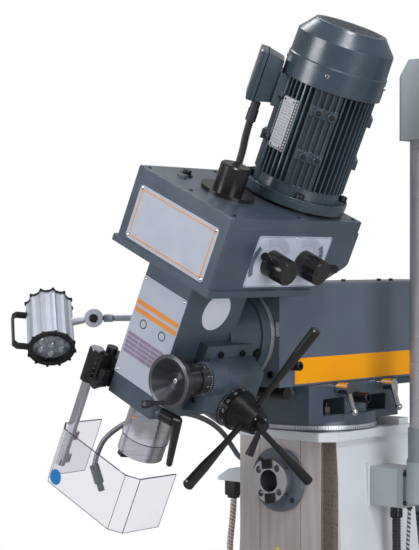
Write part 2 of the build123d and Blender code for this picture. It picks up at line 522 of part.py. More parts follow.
def make_elevating_screw():
    return rod(SCREW_R, (0, SCREW_Y, SCREW_BOTTOM), (0, SCREW_Y, KNEE_TOP - 14))


def make_knee_crank():
    front = KNEE_FRONT - 16 - SLIDING
    hub = turned(((0, 0), (0, 24), (20, 24), (20, FEED_R + 5), (44, FEED_R + 5), (44, 0)),
                 (CRANK_X, front, CRANK_Z), (0, -1, 0))
    shaft = rod(FEED_R, (CRANK_X, front, CRANK_Z), (CRANK_X, KNEE_FRONT + KNEE_WALL + 30, CRANK_Z))
    end_z = CRANK_Z - CRANK_ARM
    arm = taper(10, 8, (CRANK_X, front - 34, CRANK_Z), (CRANK_X, front - 34, end_z))
    grip = rod(12, (CRANK_X, front - 34, end_z), (CRANK_X, front - 54, end_z))
    handle = taper(9, 15, (CRANK_X, front - 40, end_z), (CRANK_X, front - 150, end_z))
    return hub + shaft + arm + grip + handle


def make_saddle():
    body = block(-SADDLE_X, SADDLE_X, SADDLE_Y0, SADDLE_Y1, KNEE_TOP + SLIDING, SADDLE_TOP)
    wide, neck = KNEE_RAIL_X + SLIDING, KNEE_RAIL_NECK + SLIDING
    top = KNEE_TOP + RAIL_HEIGHT + SLIDING
    body -= profile_along_y(((-neck, KNEE_TOP), (neck, KNEE_TOP), (wide, top), (-wide, top)), SADDLE_Y0, SADDLE_Y1)
    body -= keel_along_x(SLIDING, SADDLE_X)
    nut = block(-30, 30, QUILL_Y - 15, QUILL_Y + 15, SADDLE_TOP - KEEL_HEIGHT - 2, FEED_Z + FEED_R + 3)
    body += nut
    return body - rod(FEED_R + RUNNING, (-32, QUILL_Y, FEED_Z), (32, QUILL_Y, FEED_Z))


def keel_along_x(gap, half_length):
    """Dovetail under the table, grown by a gap."""
    wide, neck = TABLE_KEEL + gap, TABLE_KEEL_NECK + gap
    low = SADDLE_TOP - KEEL_HEIGHT - gap
    outline = ((QUILL_Y - wide, low), (QUILL_Y + wide, low), (QUILL_Y + neck, SADDLE_TOP + 4),
               (QUILL_Y - neck, SADDLE_TOP + 4))
    return profile_along_x(outline, -half_length, half_length)


def make_cross_handwheel():
    front = KNEE_FRONT - 16 - SLIDING
    wheel = Plane(origin=(CROSS_X, front, CROSS_Z), x_dir=(1, 0, 0), z_dir=(0, -1, 0)) * handwheel()
    return wheel + rod(FEED_R, (CROSS_X, front, CROSS_Z), (CROSS_X, KNEE_FRONT + KNEE_WALL + 30, CROSS_Z))


def handwheel():
    """Spoked handwheel with a graduated collar and a crank handle, on the Z axis from its back face."""
    body = turned(((0, 0), (0, WHEEL_HUB_R + 6), (18, WHEEL_HUB_R + 6), (18, WHEEL_HUB_R - 4), (52, WHEEL_HUB_R - 4),
                   (52, 0)), (0, 0, 0), (0, 0, 1))
    for step in range(3):
        angle = radians(90 + 120 * step)
        end = ((WHEEL_R - WHEEL_RIM_R) * cos(angle), (WHEEL_R - WHEEL_RIM_R) * sin(angle), 40)
        body += rod(7, (0, 0, 40), end)
    body += Pos(0, 0, 40) * Torus(WHEEL_R - WHEEL_RIM_R, WHEEL_RIM_R)
    grip = WHEEL_R - WHEEL_RIM_R
    handle = radians(30)
    x, y = grip * cos(handle), grip * sin(handle)
    return body + taper(7, 11, (x, y, 40), (x, y, 116))


def make_table():
    half, plate = TABLE_LENGTH / 2, TABLE_TOP - TABLE_PLATE
    front, back = QUILL_Y - TABLE_WIDTH / 2, QUILL_Y + TABLE_WIDTH / 2
    body = block(-half, half, front, back, SADDLE_TOP + SLIDING, TABLE_TOP)
    body -= block(-half, half, front, QUILL_Y - TABLE_KEEL_NECK - 6, SADDLE_TOP, plate - 4)
    body -= block(-half, half, QUILL_Y + TABLE_KEEL_NECK + 6, back, SADDLE_TOP, plate - 4)
    body += keel_along_x(0, half)
    body -= block(-half, half, QUILL_Y - 17, QUILL_Y + 17, SADDLE_TOP - KEEL_HEIGHT, FEED_Z + FEED_R + 5)
    neck_low = TABLE_TOP - SLOT_NECK_DEPTH
    for step in (-1, 0, 1):
        y = QUILL_Y + step * SLOT_PITCH
        body -= block(-half, half, y - SLOT_NECK / 2, y + SLOT_NECK / 2, neck_low, TABLE_TOP)
        body -= block(-half, half, y - SLOT_WIDE / 2, y + SLOT_WIDE / 2, neck_low - SLOT_WIDE_DEPTH, neck_low)
    for side in (-1, 1):
        x0, x1 = sorted((side * half, side * (half + END_BRACKET)))
        body += block(x0, x1, QUILL_Y - 60, QUILL_Y + 60, SADDLE_TOP - KEEL_HEIGHT, neck_low - SLOT_WIDE_DEPTH - 4)
    reach = half + END_BRACKET
    return body - rod(FEED_R + RUNNING, (-reach, QUILL_Y, FEED_Z), (reach, QUILL_Y, FEED_Z))


def make_table_screw():
    reach = TABLE_LENGTH / 2 + END_BRACKET + 30
    return rod(FEED_R, (-reach, QUILL_Y, FEED_Z), (reach, QUILL_Y, FEED_Z))


def make_table_handwheels():
    wheels = []
    for side in (-1, 1):
        start = side * (TABLE_LENGTH / 2 + END_BRACKET + SLIDING)
        frame = Plane(origin=(start, QUILL_Y, FEED_Z), x_dir=(0, side, 0), z_dir=(side, 0, 0))
        bore = rod(FEED_R + SEAT, (start, QUILL_Y, FEED_Z), (side * (TABLE_LENGTH / 2 + END_BRACKET + 30), QUILL_Y, FEED_Z))
        wheels.append(frame * handwheel() - bore)
    return Compound(wheels)


# Turret, levers and coolant line

def ram_keel(gap, y0, y1):
    """Dovetail under the ram, grown by a gap."""
    wide, neck = KEEL_X + gap, KEEL_NECK + gap
    outline = ((-wide, RAM_LOW - KEEL_DEPTH - gap), (wide, RAM_LOW - KEEL_DEPTH - gap), (neck, RAM_LOW), (-neck, RAM_LOW))
    return profile_along_y(outline, y0, y1)


def make_turret():
    body = rod(FLANGE_R, (0, 0, DECK_TOP + SLIDING), (0, 0, FLANGE_TOP))
    body += block(-TURRET_X, TURRET_X, TURRET_FRONT, TURRET_BACK, TURRET_LOW, TURRET_TOP)
    for y0, y1 in WINDOW_Y:
        for side in (-1, 1):
            x0, x1 = sorted((side * (TURRET_X - WINDOW_DEPTH), side * (FLANGE_R + 5)))
            body -= block(x0, x1, y0, y1, WINDOW_LOW, WINDOW_TOP)
    body -= ram_keel(SLIDING, TURRET_FRONT, TURRET_BACK)
    pocket = PINION_TEETH * RACK_MODULE / 2 + RACK_MODULE + 3
    body -= block(-KEEL_CHANNEL - 2, KEEL_CHANNEL + 2, PINION_Y - pocket, PINION_Y + pocket, PINION_Z - pocket, TURRET_TOP)
    body -= rod(PINION_SHAFT_R + RUNNING, (0, PINION_Y, PINION_Z), (TURRET_X, PINION_Y, PINION_Z))
    for y in LEVER_Y:
        body -= rod(LEVER_SHANK_R + RUNNING, (KEEL_X + 8, y, LEVER_Z), (TURRET_X, y, LEVER_Z))
    for x in (-BOLT_X, BOLT_X):
        for y in (-BOLT_Y, BOLT_Y):
            body -= rod(BOLT_R + SLIDING, (x, y, DECK_TOP), (x, y, FLANGE_TOP))
    return body


def make_turret_bolts():
    bolts = []
    head_low = DECK_TOP - TEE_DEPTH - TEE_HEAD + 2
    for x in (-BOLT_X, BOLT_X):
        for y in (-BOLT_Y, BOLT_Y):
            shank = rod(BOLT_R, (x, y, head_low), (x, y, FLANGE_TOP + NUT_HEIGHT + 7))
            head = rod(BOLT_HEAD_R, (x, y, head_low), (x, y, head_low + 8))
            nut = Pos(x, y, FLANGE_TOP) * extrude(RegularPolygon(NUT_R, 6), NUT_HEIGHT)
            bolts.append(shank + head + nut)
    return Compound(bolts)


def make_clamp_lever(y):
    out = LEVER_OUT
    start = TURRET_X + SLIDING
    body = turned(((0, 0), (0, LEVER_SHANK_R + 2), (8, LEVER_SHANK_R + 2), (8, LEVER_BOSS_R), (out - start, LEVER_BOSS_R),
                   (out - start, 0)), (start, y, LEVER_Z), (1, 0, 0))
    body += rod(LEVER_SHANK_R, (KEEL_X + 10, y, LEVER_Z), (start, y, LEVER_Z))
    lean = radians(LEVER_LEAN)
    end = (out - 6, y + LEVER_ARM * sin(lean), LEVER_Z - LEVER_ARM * cos(lean))
    return body + taper(6, 4.5, (out - 6, y, LEVER_Z), end) + Pos(*end) * Sphere(7.5)


def make_ram_pinion():
    phase = pi / 2
    teeth = Plane(origin=(-RACK_WIDTH / 2, PINION_Y, PINION_Z), x_dir=(0, 1, 0), z_dir=(1, 0, 0)) * gear(
        RACK_MODULE, PINION_TEETH, RACK_WIDTH, phase)
    shaft = rod(PINION_SHAFT_R, (0, PINION_Y, PINION_Z), (TURRET_X + SLIDING, PINION_Y, PINION_Z))
    knob = rod(PINION_END_R, (TURRET_X + SLIDING, PINION_Y, PINION_Z), (PINION_OUT, PINION_Y, PINION_Z))
    knob = chamfer(knob.faces().sort_by(Axis.X)[-1].edges(), 2)
    socket = Plane(origin=(PINION_OUT - 8, PINION_Y, PINION_Z), z_dir=(1, 0, 0)) * extrude(RegularPolygon(6.5, 6), 8)
    return teeth + shaft + knob - socket


def make_coolant_valve():
    outlet = COOLANT_ROUTE[0]
    body = block(-150, -TURRET_X, VALVE_Y - 16, VALVE_Y + 16, VALVE_Z - 16, VALVE_Z + 16)
    body += rod(10, (-150, VALVE_Y, VALVE_Z), (outlet[0], VALVE_Y, VALVE_Z)) + Pos(outlet[0], VALVE_Y, VALVE_Z) * Sphere(10)
    body += rod(9, (outlet[0], VALVE_Y, VALVE_Z), outlet)
    tap = rod(5, (-134, VALVE_Y, VALVE_Z + 16), (-134, VALVE_Y, VALVE_Z + 30))
    return body + tap + block(-139, -129, VALVE_Y - 32, VALVE_Y + 8, VALVE_Z + 27, VALVE_Z + 32)


def make_coolant_hose():
    path = route(COOLANT_ROUTE, "coolant hose")
    tip = path @ 1
    aim = path % 1
    frame = Plane(origin=tip, x_dir=(1, 0, 0), z_dir=aim)
    mouth = frame.offset(NOZZLE_LENGTH) * Rectangle(17, 5)
    nozzle = loft([frame * Rectangle(13, 12), frame.offset(9) * Rectangle(18, 9), mouth], ruled=True)
    bore = extrude(frame.offset(NOZZLE_LENGTH) * Rectangle(12, 2), -6)
    return hose(path, COOLANT_R) + nozzle - bore


# Ram

def make_ram():
    body = block(-RAM_X, RAM_X, RAM_FRONT, RAM_BACK, RAM_LOW, RAM_TOP)
    body = fillet(body.edges().filter_by(Axis.Y).sort_by(Axis.Z)[-2:], 7)
    flange = block(-RAM_X, RAM_X, RAM_FLANGE_FRONT, RAM_FRONT, RAM_LOW, RAM_TOP)
    body += fillet(flange.edges().filter_by(Axis.Y).sort_by(Axis.Z)[-2:], 7)
    body += ram_keel(0, RAM_FRONT + 4, RAM_BACK)
    inner = RAM_X - RAM_WALL
    body -= block(-inner, inner, RAM_FRONT + RAM_WALL, RAM_BACK, RAM_LOW + RAM_WALL, RAM_TOP - RAM_WALL)
    body -= block(-KEEL_CHANNEL, KEEL_CHANNEL, RAM_FRONT + 4, RAM_BACK, RAM_LOW - KEEL_DEPTH, RACK_TOP)
    body += rod(STOP_BAR_R, (30, STOP_BAR_Y, STOP_BAR_Z), (RAM_X - 6, STOP_BAR_Y, STOP_BAR_Z))
    body += block(34, RAM_X - 12, STOP_BAR_Y - 9, STOP_BAR_Y + 9, STOP_BAR_Z, RAM_LOW)
    return body - rod(WORM_R + RUNNING, (40, WORM_Y, WORM_Z), (RAM_X, WORM_Y, WORM_Z))


def make_ram_rack():
    pitch_line = PINION_Z + RACK_MODULE * PINION_TEETH / 2
    step = RACK_MODULE * pi
    slope = tan(radians(20))
    half = step / 4 - BACKLASH / 2
    root, tip = pitch_line + 1.15 * RACK_MODULE, pitch_line - 0.85 * RACK_MODULE
    y0, y1 = RAM_FRONT + 24, RAM_BACK - 20
    first = -int((PINION_Y - y0) / step)
    last = int((y1 - PINION_Y) / step)
    points = [(y0, root)]
    for tooth in range(first, last):
        middle = PINION_Y + (tooth + 0.5) * step
        for z, spread in ((root, 0.9), (tip, -0.85), (tip, -0.85), (root, 0.9)):
            side = -1 if len(points) % 4 in (1, 2) else 1
            points.append((middle + side * (half + spread * RACK_MODULE * slope), z))
    points += [(y1, root), (y1, RACK_TOP), (y0, RACK_TOP)]
    return profile_along_x(points, -RACK_WIDTH / 2, RACK_WIDTH / 2)


def make_tilt_worm():
    body = rod(WORM_R, (42, WORM_Y, WORM_Z), (WORM_OUT, WORM_Y, WORM_Z))
    body = chamfer(body.faces().sort_by(Axis.X)[-1].edges(), 1.5)
    socket = Plane(origin=(WORM_OUT - 7, WORM_Y, WORM_Z), z_dir=(1, 0, 0)) * extrude(RegularPolygon(5, 6), 7)
    return body - socket


# Vertical head, drawn upright with the tilt axis on Y through the origin

def make_head_casting():
    body = block(-CAST_X, CAST_X, CAST_FRONT, CAST_BACK, CAST_LOW, CAST_TOP)
    body = fillet(body.edges().filter_by(Axis.Z).sort_by(Axis.Y)[:2], 6)
    body += turned(((0, 0), (0, SWIVEL_R), (36, SWIVEL_R), (36, SWIVEL_R - 6), (SWIVEL_BACK - CAST_BACK + 12, 72),
                    (SWIVEL_BACK - CAST_BACK + 12, 0)), (0, SWIVEL_BACK, 0), (0, -1, 0))
    housing = ((40, FEED_LOW), (FEED_X, FEED_LOW + 34), (FEED_X, FEED_TOP - FEED_DROP), (CAST_X, FEED_TOP),
               (40, FEED_TOP))
    feed = profile_along_y(housing, FEED_FRONT, FEED_BACK)
    feed = fillet(feed.edges().filter_by(Axis.Z).sort_by(Axis.X)[-2:].sort_by(Axis.Y)[:1], 24)
    body += fillet(feed.edges().filter_by(Axis.Y).sort_by(Axis.X)[-2:], 3)
    body += rod(CAPSTAN_BOSS_R, (30, CAPSTAN_Y, CAPSTAN_Z), (FEED_X, CAPSTAN_Y, CAPSTAN_Z))
    body += rod(FINE_BOSS_R, (FINE_X, FINE_BACK, FINE_Z), (FINE_X, FINE_BACK + 41, FINE_Z))
    bar = block(CAST_X - 12, BAR_OUT, BAR_FRONT, BAR_BACK, BAR_LOW, BAR_TOP)
    body += chamfer(bar.edges().filter_by(Axis.Y).sort_by(Axis.X)[-1:], 1.5)
    lock, across = lock_line()
    body += rod(LOCK_BOSS_R, lock - across * 14, lock + across * LOCK_PAD)
    body += lamp_pad()
    body -= rod(QUILL_R + RUNNING, (0, QUILL_Y, CAST_LOW), (0, QUILL_Y, CAST_TOP))
    body -= rod(CAPSTAN_SHAFT_R + RUNNING, (64, CAPSTAN_Y, CAPSTAN_Z), (FEED_X, CAPSTAN_Y, CAPSTAN_Z))
    body -= rod(FINE_SHAFT_R + RUNNING, (FINE_X, FINE_BACK, FINE_Z), (FINE_X, FINE_BACK + 20, FINE_Z))
    return body - rod(LOCK_SHAFT_R + RUNNING, lock - across * 11, lock + across * LOCK_PAD)


def lock_line():
    """Point on the casting's right side where the quill lock's screw goes in, and the way out along it."""
    lean = radians(LOCK_LEAN)
    return Vector(CAST_X, LOCK_Y, LOCK_Z), Vector(cos(lean), sin(lean), 0)


def head_point(point):
    """A point of the machine's frame, in the head's upright frame."""
    tilt = radians(HEAD_TILT)
    x, y, z = point[0], point[1], point[2] - TILT_Z
    return (x * cos(tilt) - z * sin(tilt), y, x * sin(tilt) + z * cos(tilt))


def lamp_pad():
    """Round pad on the swivel's left side with a trough for the lamp arm's upright pivot."""
    root = head_point(LAMP_ROOT)
    pad = rod(16, (-SWIVEL_R + 25, root[1], root[2]), (root[0] + 4, root[1], root[2]))
    return pad - Pos(*root) * Rot(0, -HEAD_TILT, 0) * Cylinder(LAMP_PIVOT_R + SLIDING, 80)


def make_gearbox_housing():
    outline = ((BOX_FRONT, CAST_TOP), (BOX_LIP_BACK, CAST_TOP), (BOX_LIP_BACK + 1, BOX_RISE), (BOX_BACK - 8, BOX_REAR_LOW),
               (BOX_BACK, BOX_REAR_LOW + 8), (BOX_BACK, BOX_TOP), (BOX_FRONT, BOX_TOP))
    body = profile_along_x(outline, -BOX_X, BOX_X)
    body = fillet(body.edges().filter_by(Axis.Z).sort_by(Axis.Y)[:2], 6)
    body += block(-BOX_X - BOX_LIP, BOX_X + BOX_LIP, BOX_FRONT - BOX_LIP, BOX_LIP_BACK, CAST_TOP, CAST_TOP + BOX_LIP_HEIGHT)
    wall = BOX_WALL
    room = ((BOX_FRONT + wall - 2, CAST_TOP + wall + 2), (BOX_LIP_BACK - 8, CAST_TOP + wall + 12),
            (BOX_BACK - 8 - wall, BOX_REAR_LOW + wall), (BOX_BACK - wall, BOX_REAR_LOW + wall + 6),
            (BOX_BACK - wall, BOX_TOP), (BOX_FRONT + wall - 2, BOX_TOP))
    body -= profile_along_x(room, -BOX_X + wall, BOX_X - wall)
    body -= rod(SLEEVE_R + RUNNING, (0, QUILL_Y, CAST_TOP), (0, QUILL_Y, CAST_TOP + 40))
    for y in KNOB_Y:
        body -= rod(KNOB_SHAFT_R + RUNNING, (BOX_X - wall, y, KNOB_Z), (BOX_X, y, KNOB_Z))
    return body


def make_gearbox_cover():
    body = block(-BOX_X, BOX_X, BOX_FRONT, BOX_BACK, BOX_TOP, COVER_TOP)
    body = fillet(body.edges().filter_by(Axis.Z), 6)
    body = chamfer(body.faces().sort_by(Axis.Z)[-1].edges(), 1.5)
    body -= rod(SLEEVE_R + RUNNING, (0, QUILL_Y, BOX_TOP), (0, QUILL_Y, COVER_TOP))
    body -= rod(MOTOR_SHAFT_R + 6, (MOTOR_X, MOTOR_Y, BOX_TOP), (MOTOR_X, MOTOR_Y, COVER_TOP))
    plug_y = BOX_FRONT + 62
    return body + rod(9, (-72, plug_y, COVER_TOP - 4), (-72, plug_y, COVER_TOP + 5))


def make_drawbar_cap():
    inner_r, roof = DRAWBAR_CAP_R - 5, DRAWBAR_CAP_TOP - 6
    profile = ((0, inner_r), (0, CAP_FLANGE_R), (CAP_FLANGE, CAP_FLANGE_R), (CAP_FLANGE, DRAWBAR_CAP_R),
               (DRAWBAR_CAP_TOP - COVER_TOP - 3, DRAWBAR_CAP_R), (DRAWBAR_CAP_TOP - COVER_TOP, DRAWBAR_CAP_R - 3),
               (DRAWBAR_CAP_TOP - COVER_TOP, 0), (roof - COVER_TOP, 0), (roof - COVER_TOP, inner_r))
    return turned(profile, (0, QUILL_Y, COVER_TOP), (0, 0, 1))


def motor_frame_place():
    return Pos(MOTOR_X, MOTOR_Y, 0)


def facing(angle):
    """Turn so that local -Y looks out at an angle from the front towards +X."""
    return Rot(0, 0, angle)


def make_motor_frame():
    body = turned(((COVER_TOP, 0), (COVER_TOP, MOTOR_SPIGOT_R), (MOTOR_FLANGE_LOW, MOTOR_SPIGOT_R),
                   (MOTOR_FLANGE_LOW, MOTOR_FLANGE_R), (MOTOR_FLANGE_TOP, MOTOR_FLANGE_R), (MOTOR_FLANGE_TOP, FIN_R - 2),
                   (FIN_LOW, FIN_R - 5), (FIN_LOW, 0)), (0, 0, 0), (0, 0, 1))
    body += fin_ring(MOTOR_CORE_R, FIN_R, FINS, FIN_THICK, FIN_LOW, FIN_TOP)
    body += rod(COVER_R - COVER_WALL - 2 * SLIDING, (0, 0, FIN_TOP - 8), (0, 0, FIN_TOP))
    for angle in PAD_ANGLES:
        body += facing(angle) * block(-PAD_WIDTH / 2, PAD_WIDTH / 2, -FIN_R + 7, -40, FIN_LOW, FIN_TOP)
        for z in PAD_HEIGHTS:
            body += facing(angle) * block(-PAD_WIDTH / 2, PAD_WIDTH / 2, -PAD_REACH, -60, z - 9, z + 9)
    seat = TERMINAL_WIDTH / 2 - 10
    body += facing(TERMINAL_TURN) * block(-seat, seat, -TERMINAL_IN, -50, TERMINAL_LOW + 8, FIN_TOP - 10)
    body -= rod(MOTOR_BORE_R, (0, 0, FIN_LOW + 4), (0, 0, FIN_TOP - 14))
    body -= rod(MOTOR_SHAFT_R + RUNNING, (0, 0, COVER_TOP), (0, 0, FIN_TOP))
    return motor_frame_place() * body


def make_fan_cover():
    wall = COVER_WALL
    lip = FIN_TOP - 8
    outer = ((lip, 0), (lip, COVER_R), (COVER_STEP_Z - 2, COVER_R), (COVER_STEP_Z, COVER_R - 2), (COVER_CONE_Z, COVER_R - 3),
             (FAN_COVER_TOP - 4, COVER_CONE_R + 3), (FAN_COVER_TOP, COVER_CONE_R), (FAN_COVER_TOP, 0))
    inner = ((lip, 0), (lip, COVER_R - wall), (COVER_CONE_Z - 2, COVER_R - 3 - wall),
             (FAN_COVER_TOP - wall - 2, COVER_CONE_R), (FAN_COVER_TOP - wall, COVER_CONE_R - wall), (FAN_COVER_TOP - wall, 0))
    body = turned(outer, (0, 0, 0), (0, 0, 1)) - turned(inner, (0, 0, 0), (0, 0, 1))
    slots = 9
    pitch = 2 * (COVER_CONE_R - 8) / slots
    for slot in range(slots):
        middle = (slot - (slots - 1) / 2) * pitch
        half = ((COVER_CONE_R - 8) ** 2 - (abs(middle) + pitch * 0.3) ** 2) ** 0.5
        body -= block(-half, half, middle - pitch * 0.3, middle + pitch * 0.3, FAN_COVER_TOP - 6, FAN_COVER_TOP)
    seat = TERMINAL_WIDTH / 2
    body -= facing(TERMINAL_TURN) * block(-seat, seat, -TERMINAL_IN - 40, -TERMINAL_IN + SEAT, FIN_TOP - 5, TERMINAL_TOP + 5)
    return motor_frame_place() * body


def make_terminal_box():
    half = TERMINAL_WIDTH / 2
    body = block(-half + 6, half - 6, -TERMINAL_OUT + 14, -TERMINAL_IN, TERMINAL_LOW + 4, TERMINAL_TOP - 4)
    lid = block(-half, half, -TERMINAL_OUT, -TERMINAL_OUT + 14, TERMINAL_LOW, TERMINAL_TOP)
    body += fillet(lid.edges().filter_by(Axis.Y), 8)
    y_mid = -(TERMINAL_IN + TERMINAL_OUT) / 2
    body += Pos(0, y_mid, TERMINAL_LOW - 18) * extrude(RegularPolygon(12, 6), 24)
    return motor_frame_place() * facing(TERMINAL_TURN) * body


def make_motor_conduit():
    y_mid = -(TERMINAL_IN + TERMINAL_OUT) / 2
    turn = radians(TERMINAL_TURN)
    points = []
    for reach, z in ((y_mid, TERMINAL_LOW - 18), (y_mid, 385), (y_mid + 6, 345), (y_mid + 6, COVER_TOP)):
        points.append((MOTOR_X - reach * sin(turn), MOTOR_Y + reach * cos(turn), z))
    return ribbed(route(points, "motor conduit"), CONDUIT_R, CONDUIT_ROOT, CONDUIT_BORE, CONDUIT_PITCH, 2 * CONDUIT_R)


def mesh_angle():
    """Direction from the spindle's axis to the motor's axis."""
    return atan2(MOTOR_Y - QUILL_Y, MOTOR_X)


def make_motor_rotor():
    low = GEAR_LOW - 8
    body = rod(MOTOR_SHAFT_R, (0, 0, low), (0, 0, 580)) + rod(ROTOR_R, (0, 0, FIN_LOW + 16), (0, 0, FIN_TOP - 26))
    body += Pos(0, 0, GEAR_LOW) * gear(GEAR_MODULE, ROTOR_TEETH, GEAR_WIDTH, mesh_angle() + pi + pi / ROTOR_TEETH)
    body += rod(FAN_R, (0, 0, 546), (0, 0, 550)) + rod(24, (0, 0, 546), (0, 0, 578))
    for blade in range(6):
        body += Rot(0, 0, 60 * blade) * block(20, FAN_R, -1.5, 1.5, 548, 574)
    return motor_frame_place() * body


def make_drive_sleeve():
    body = rod(SLEEVE_R, (0, 0, SLEEVE_LOW), (0, 0, SLEEVE_TOP))
    body += Pos(0, 0, GEAR_LOW) * gear(GEAR_MODULE, SLEEVE_TEETH, GEAR_WIDTH, mesh_angle())
    return Pos(0, QUILL_Y, 0) * (body - rod(SPLINE_R + RUNNING, (0, 0, SLEEVE_LOW), (0, 0, SLEEVE_TOP)))


def make_quill():
    body = rod(QUILL_R, (0, QUILL_Y, QUILL_LOW), (0, QUILL_Y, QUILL_TOP))
    return body - rod(QUILL_BORE, (0, QUILL_Y, QUILL_LOW), (0, QUILL_Y, QUILL_TOP))


def make_quill_bearings():
    rings = []
    for low in (QUILL_LOW, QUILL_TOP - BEARING_WIDTH):
        start, end = (0, QUILL_Y, low), (0, QUILL_Y, low + BEARING_WIDTH)
        rings.append(rod(QUILL_BORE - SEAT, start, end) - rod(SPINDLE_R + RUNNING, start, end))
    return Compound(rings)


def make_spindle():
    nose = QUILL_LOW - SLIDING - SPINDLE_LOW
    body = turned(nose_profile(nose, SPINDLE_R, QUILL_TOP + 6 - SPINDLE_LOW), (0, 0, 0), (0, 0, 1))
    for cut in nose_cuts(SEAT):
        body -= cut
    spline_low = QUILL_TOP - SPINDLE_LOW
    body += rod(SPLINE_R, (0, 0, spline_low), (0, 0, SPLINE_TOP - SPINDLE_LOW)) - rod(
        DRAWBAR_R, (0, 0, spline_low), (0, 0, SPLINE_TOP - SPINDLE_LOW))
    return vertical_nose() * body


def vertical_nose():
    """Nose face of the vertical spindle, with the spindle going up and its keys on the front-to-back line."""
    return Pos(0, QUILL_Y, SPINDLE_LOW) * Rot(0, 0, 74)


def make_spindle_keys():
    return vertical_nose() * Compound(nose_keys(0, KEY_PROUD))


def handle_line(phase):
    """Start and direction of a capstan handle, in the head's frame."""
    angle, lean = radians(phase), radians(HANDLE_LEAN)
    out = Vector(sin(lean), cos(lean) * cos(angle), cos(lean) * sin(angle))
    return Vector(HANDLE_X, CAPSTAN_Y, CAPSTAN_Z) + out * HANDLE_IN, out


def make_capstan_hub():
    start = FEED_X + SLIDING
    profile = ((0, 0), (0, DIAL_R), (DIAL_OUT - start, DIAL_R), (DIAL_OUT - start, HUB_R), (HUB_OUT - start, HUB_END_R),
               (HUB_OUT - start, 0))
    body = turned(profile, (start, CAPSTAN_Y, CAPSTAN_Z), (1, 0, 0))
    body += rod(CAPSTAN_SHAFT_R, (66, CAPSTAN_Y, CAPSTAN_Z), (start, CAPSTAN_Y, CAPSTAN_Z))
    body += rod(11, (HUB_OUT, CAPSTAN_Y, CAPSTAN_Z), (HUB_OUT + 17, CAPSTAN_Y, CAPSTAN_Z))
    lever_x = HUB_OUT + 9
    body += taper(4, 8, (lever_x, CAPSTAN_Y, CAPSTAN_Z), (lever_x + 4, CAPSTAN_Y - 12, CAPSTAN_Z - 58))
    for phase in HANDLE_PHASES:
        begin, out = handle_line(phase)
        body -= taper(HANDLE_ROOT_R + SEAT, HANDLE_ROOT_R + 0.6 + SEAT, begin, begin + out * 0.38 * HANDLE_LENGTH)
    return body


def make_capstan_handles():
    handles = []
    for phase in HANDLE_PHASES:
        begin, out = handle_line(phase)
        along = ((0, 0), (0, HANDLE_ROOT_R), (0.38 * HANDLE_LENGTH, HANDLE_ROOT_R + 0.6),
                 (0.72 * HANDLE_LENGTH, HANDLE_END_R - 0.6), (HANDLE_LENGTH - 2, HANDLE_END_R),
                 (HANDLE_LENGTH, HANDLE_END_R - 2), (HANDLE_LENGTH, 0))
        handles.append(turned(along, begin, out))
    return Compound(handles)


def make_fine_feed_wheel():
    start = FINE_BACK - SLIDING
    rim = start - FINE_FRONT
    profile = ((0, 0), (0, FINE_DIAL_R), (26, FINE_DIAL_R), (26, 26), (52, 25), (rim - 26, 27),
               (rim - 13, FINE_RIM_R - 1.5), (rim - 12, FINE_RIM_R), (rim - 1, FINE_RIM_R), (rim, FINE_RIM_R - 1),
               (rim, FINE_DISH_R), (rim - 22, FINE_HUB_R), (rim - 22, 0))
    body = turned(profile, (FINE_X, start, FINE_Z), (0, -1, 0))
    body += rod(FINE_SHAFT_R, (FINE_X, start, FINE_Z), (FINE_X, FINE_BACK + 18, FINE_Z))
    grip = ((-4, 0), (-4, 4), (8, 4), (22, 5), (0.72 * FINE_GRIP, 7.8), (0.9 * FINE_GRIP, 7.4), (FINE_GRIP, 4),
            (FINE_GRIP, 0))
    return body + turned(grip, (FINE_X + 2, FINE_FRONT, FINE_Z - FINE_DISH_R + 1), (0, -1, 0))


def make_quill_lock_lever():
    lock, across = lock_line()
    start, end = lock + across * (LOCK_PAD + SLIDING), lock + across * LOCK_OUT
    body = rod(LOCK_BOSS_R, start, end) + rod(LOCK_SHAFT_R, lock - across * 10, start)
    body += taper(10, 9, lock + across * (LOCK_OUT - 11), LOCK_BEND) + Pos(*LOCK_BEND) * Sphere(9)
    return body + taper(9, 6, LOCK_BEND, LOCK_TIP) + Pos(*LOCK_TIP) * Sphere(6)


def make_speed_knob(y, point):
    start = BOX_X + SLIDING
    profile = ((0, 0), (0, KNOB_R + 5), (7, KNOB_R + 5), (7, KNOB_R), (KNOB_OUT - start - 3, KNOB_R - 2),
               (KNOB_OUT - start, KNOB_R - 5), (KNOB_OUT - start, 0))
    body = turned(profile, (start, y, KNOB_Z), (1, 0, 0))
    body += rod(KNOB_SHAFT_R, (BOX_X - BOX_WALL - 8, y, KNOB_Z), (start, y, KNOB_Z))
    angle = radians(point)
    pin_x = start + 16
    end = (pin_x + 4, y - 47 * cos(angle), KNOB_Z + 47 * sin(angle))
    return body + taper(5, 4, (pin_x, y, KNOB_Z), end) + Pos(*end) * Sphere(5)


# Guard

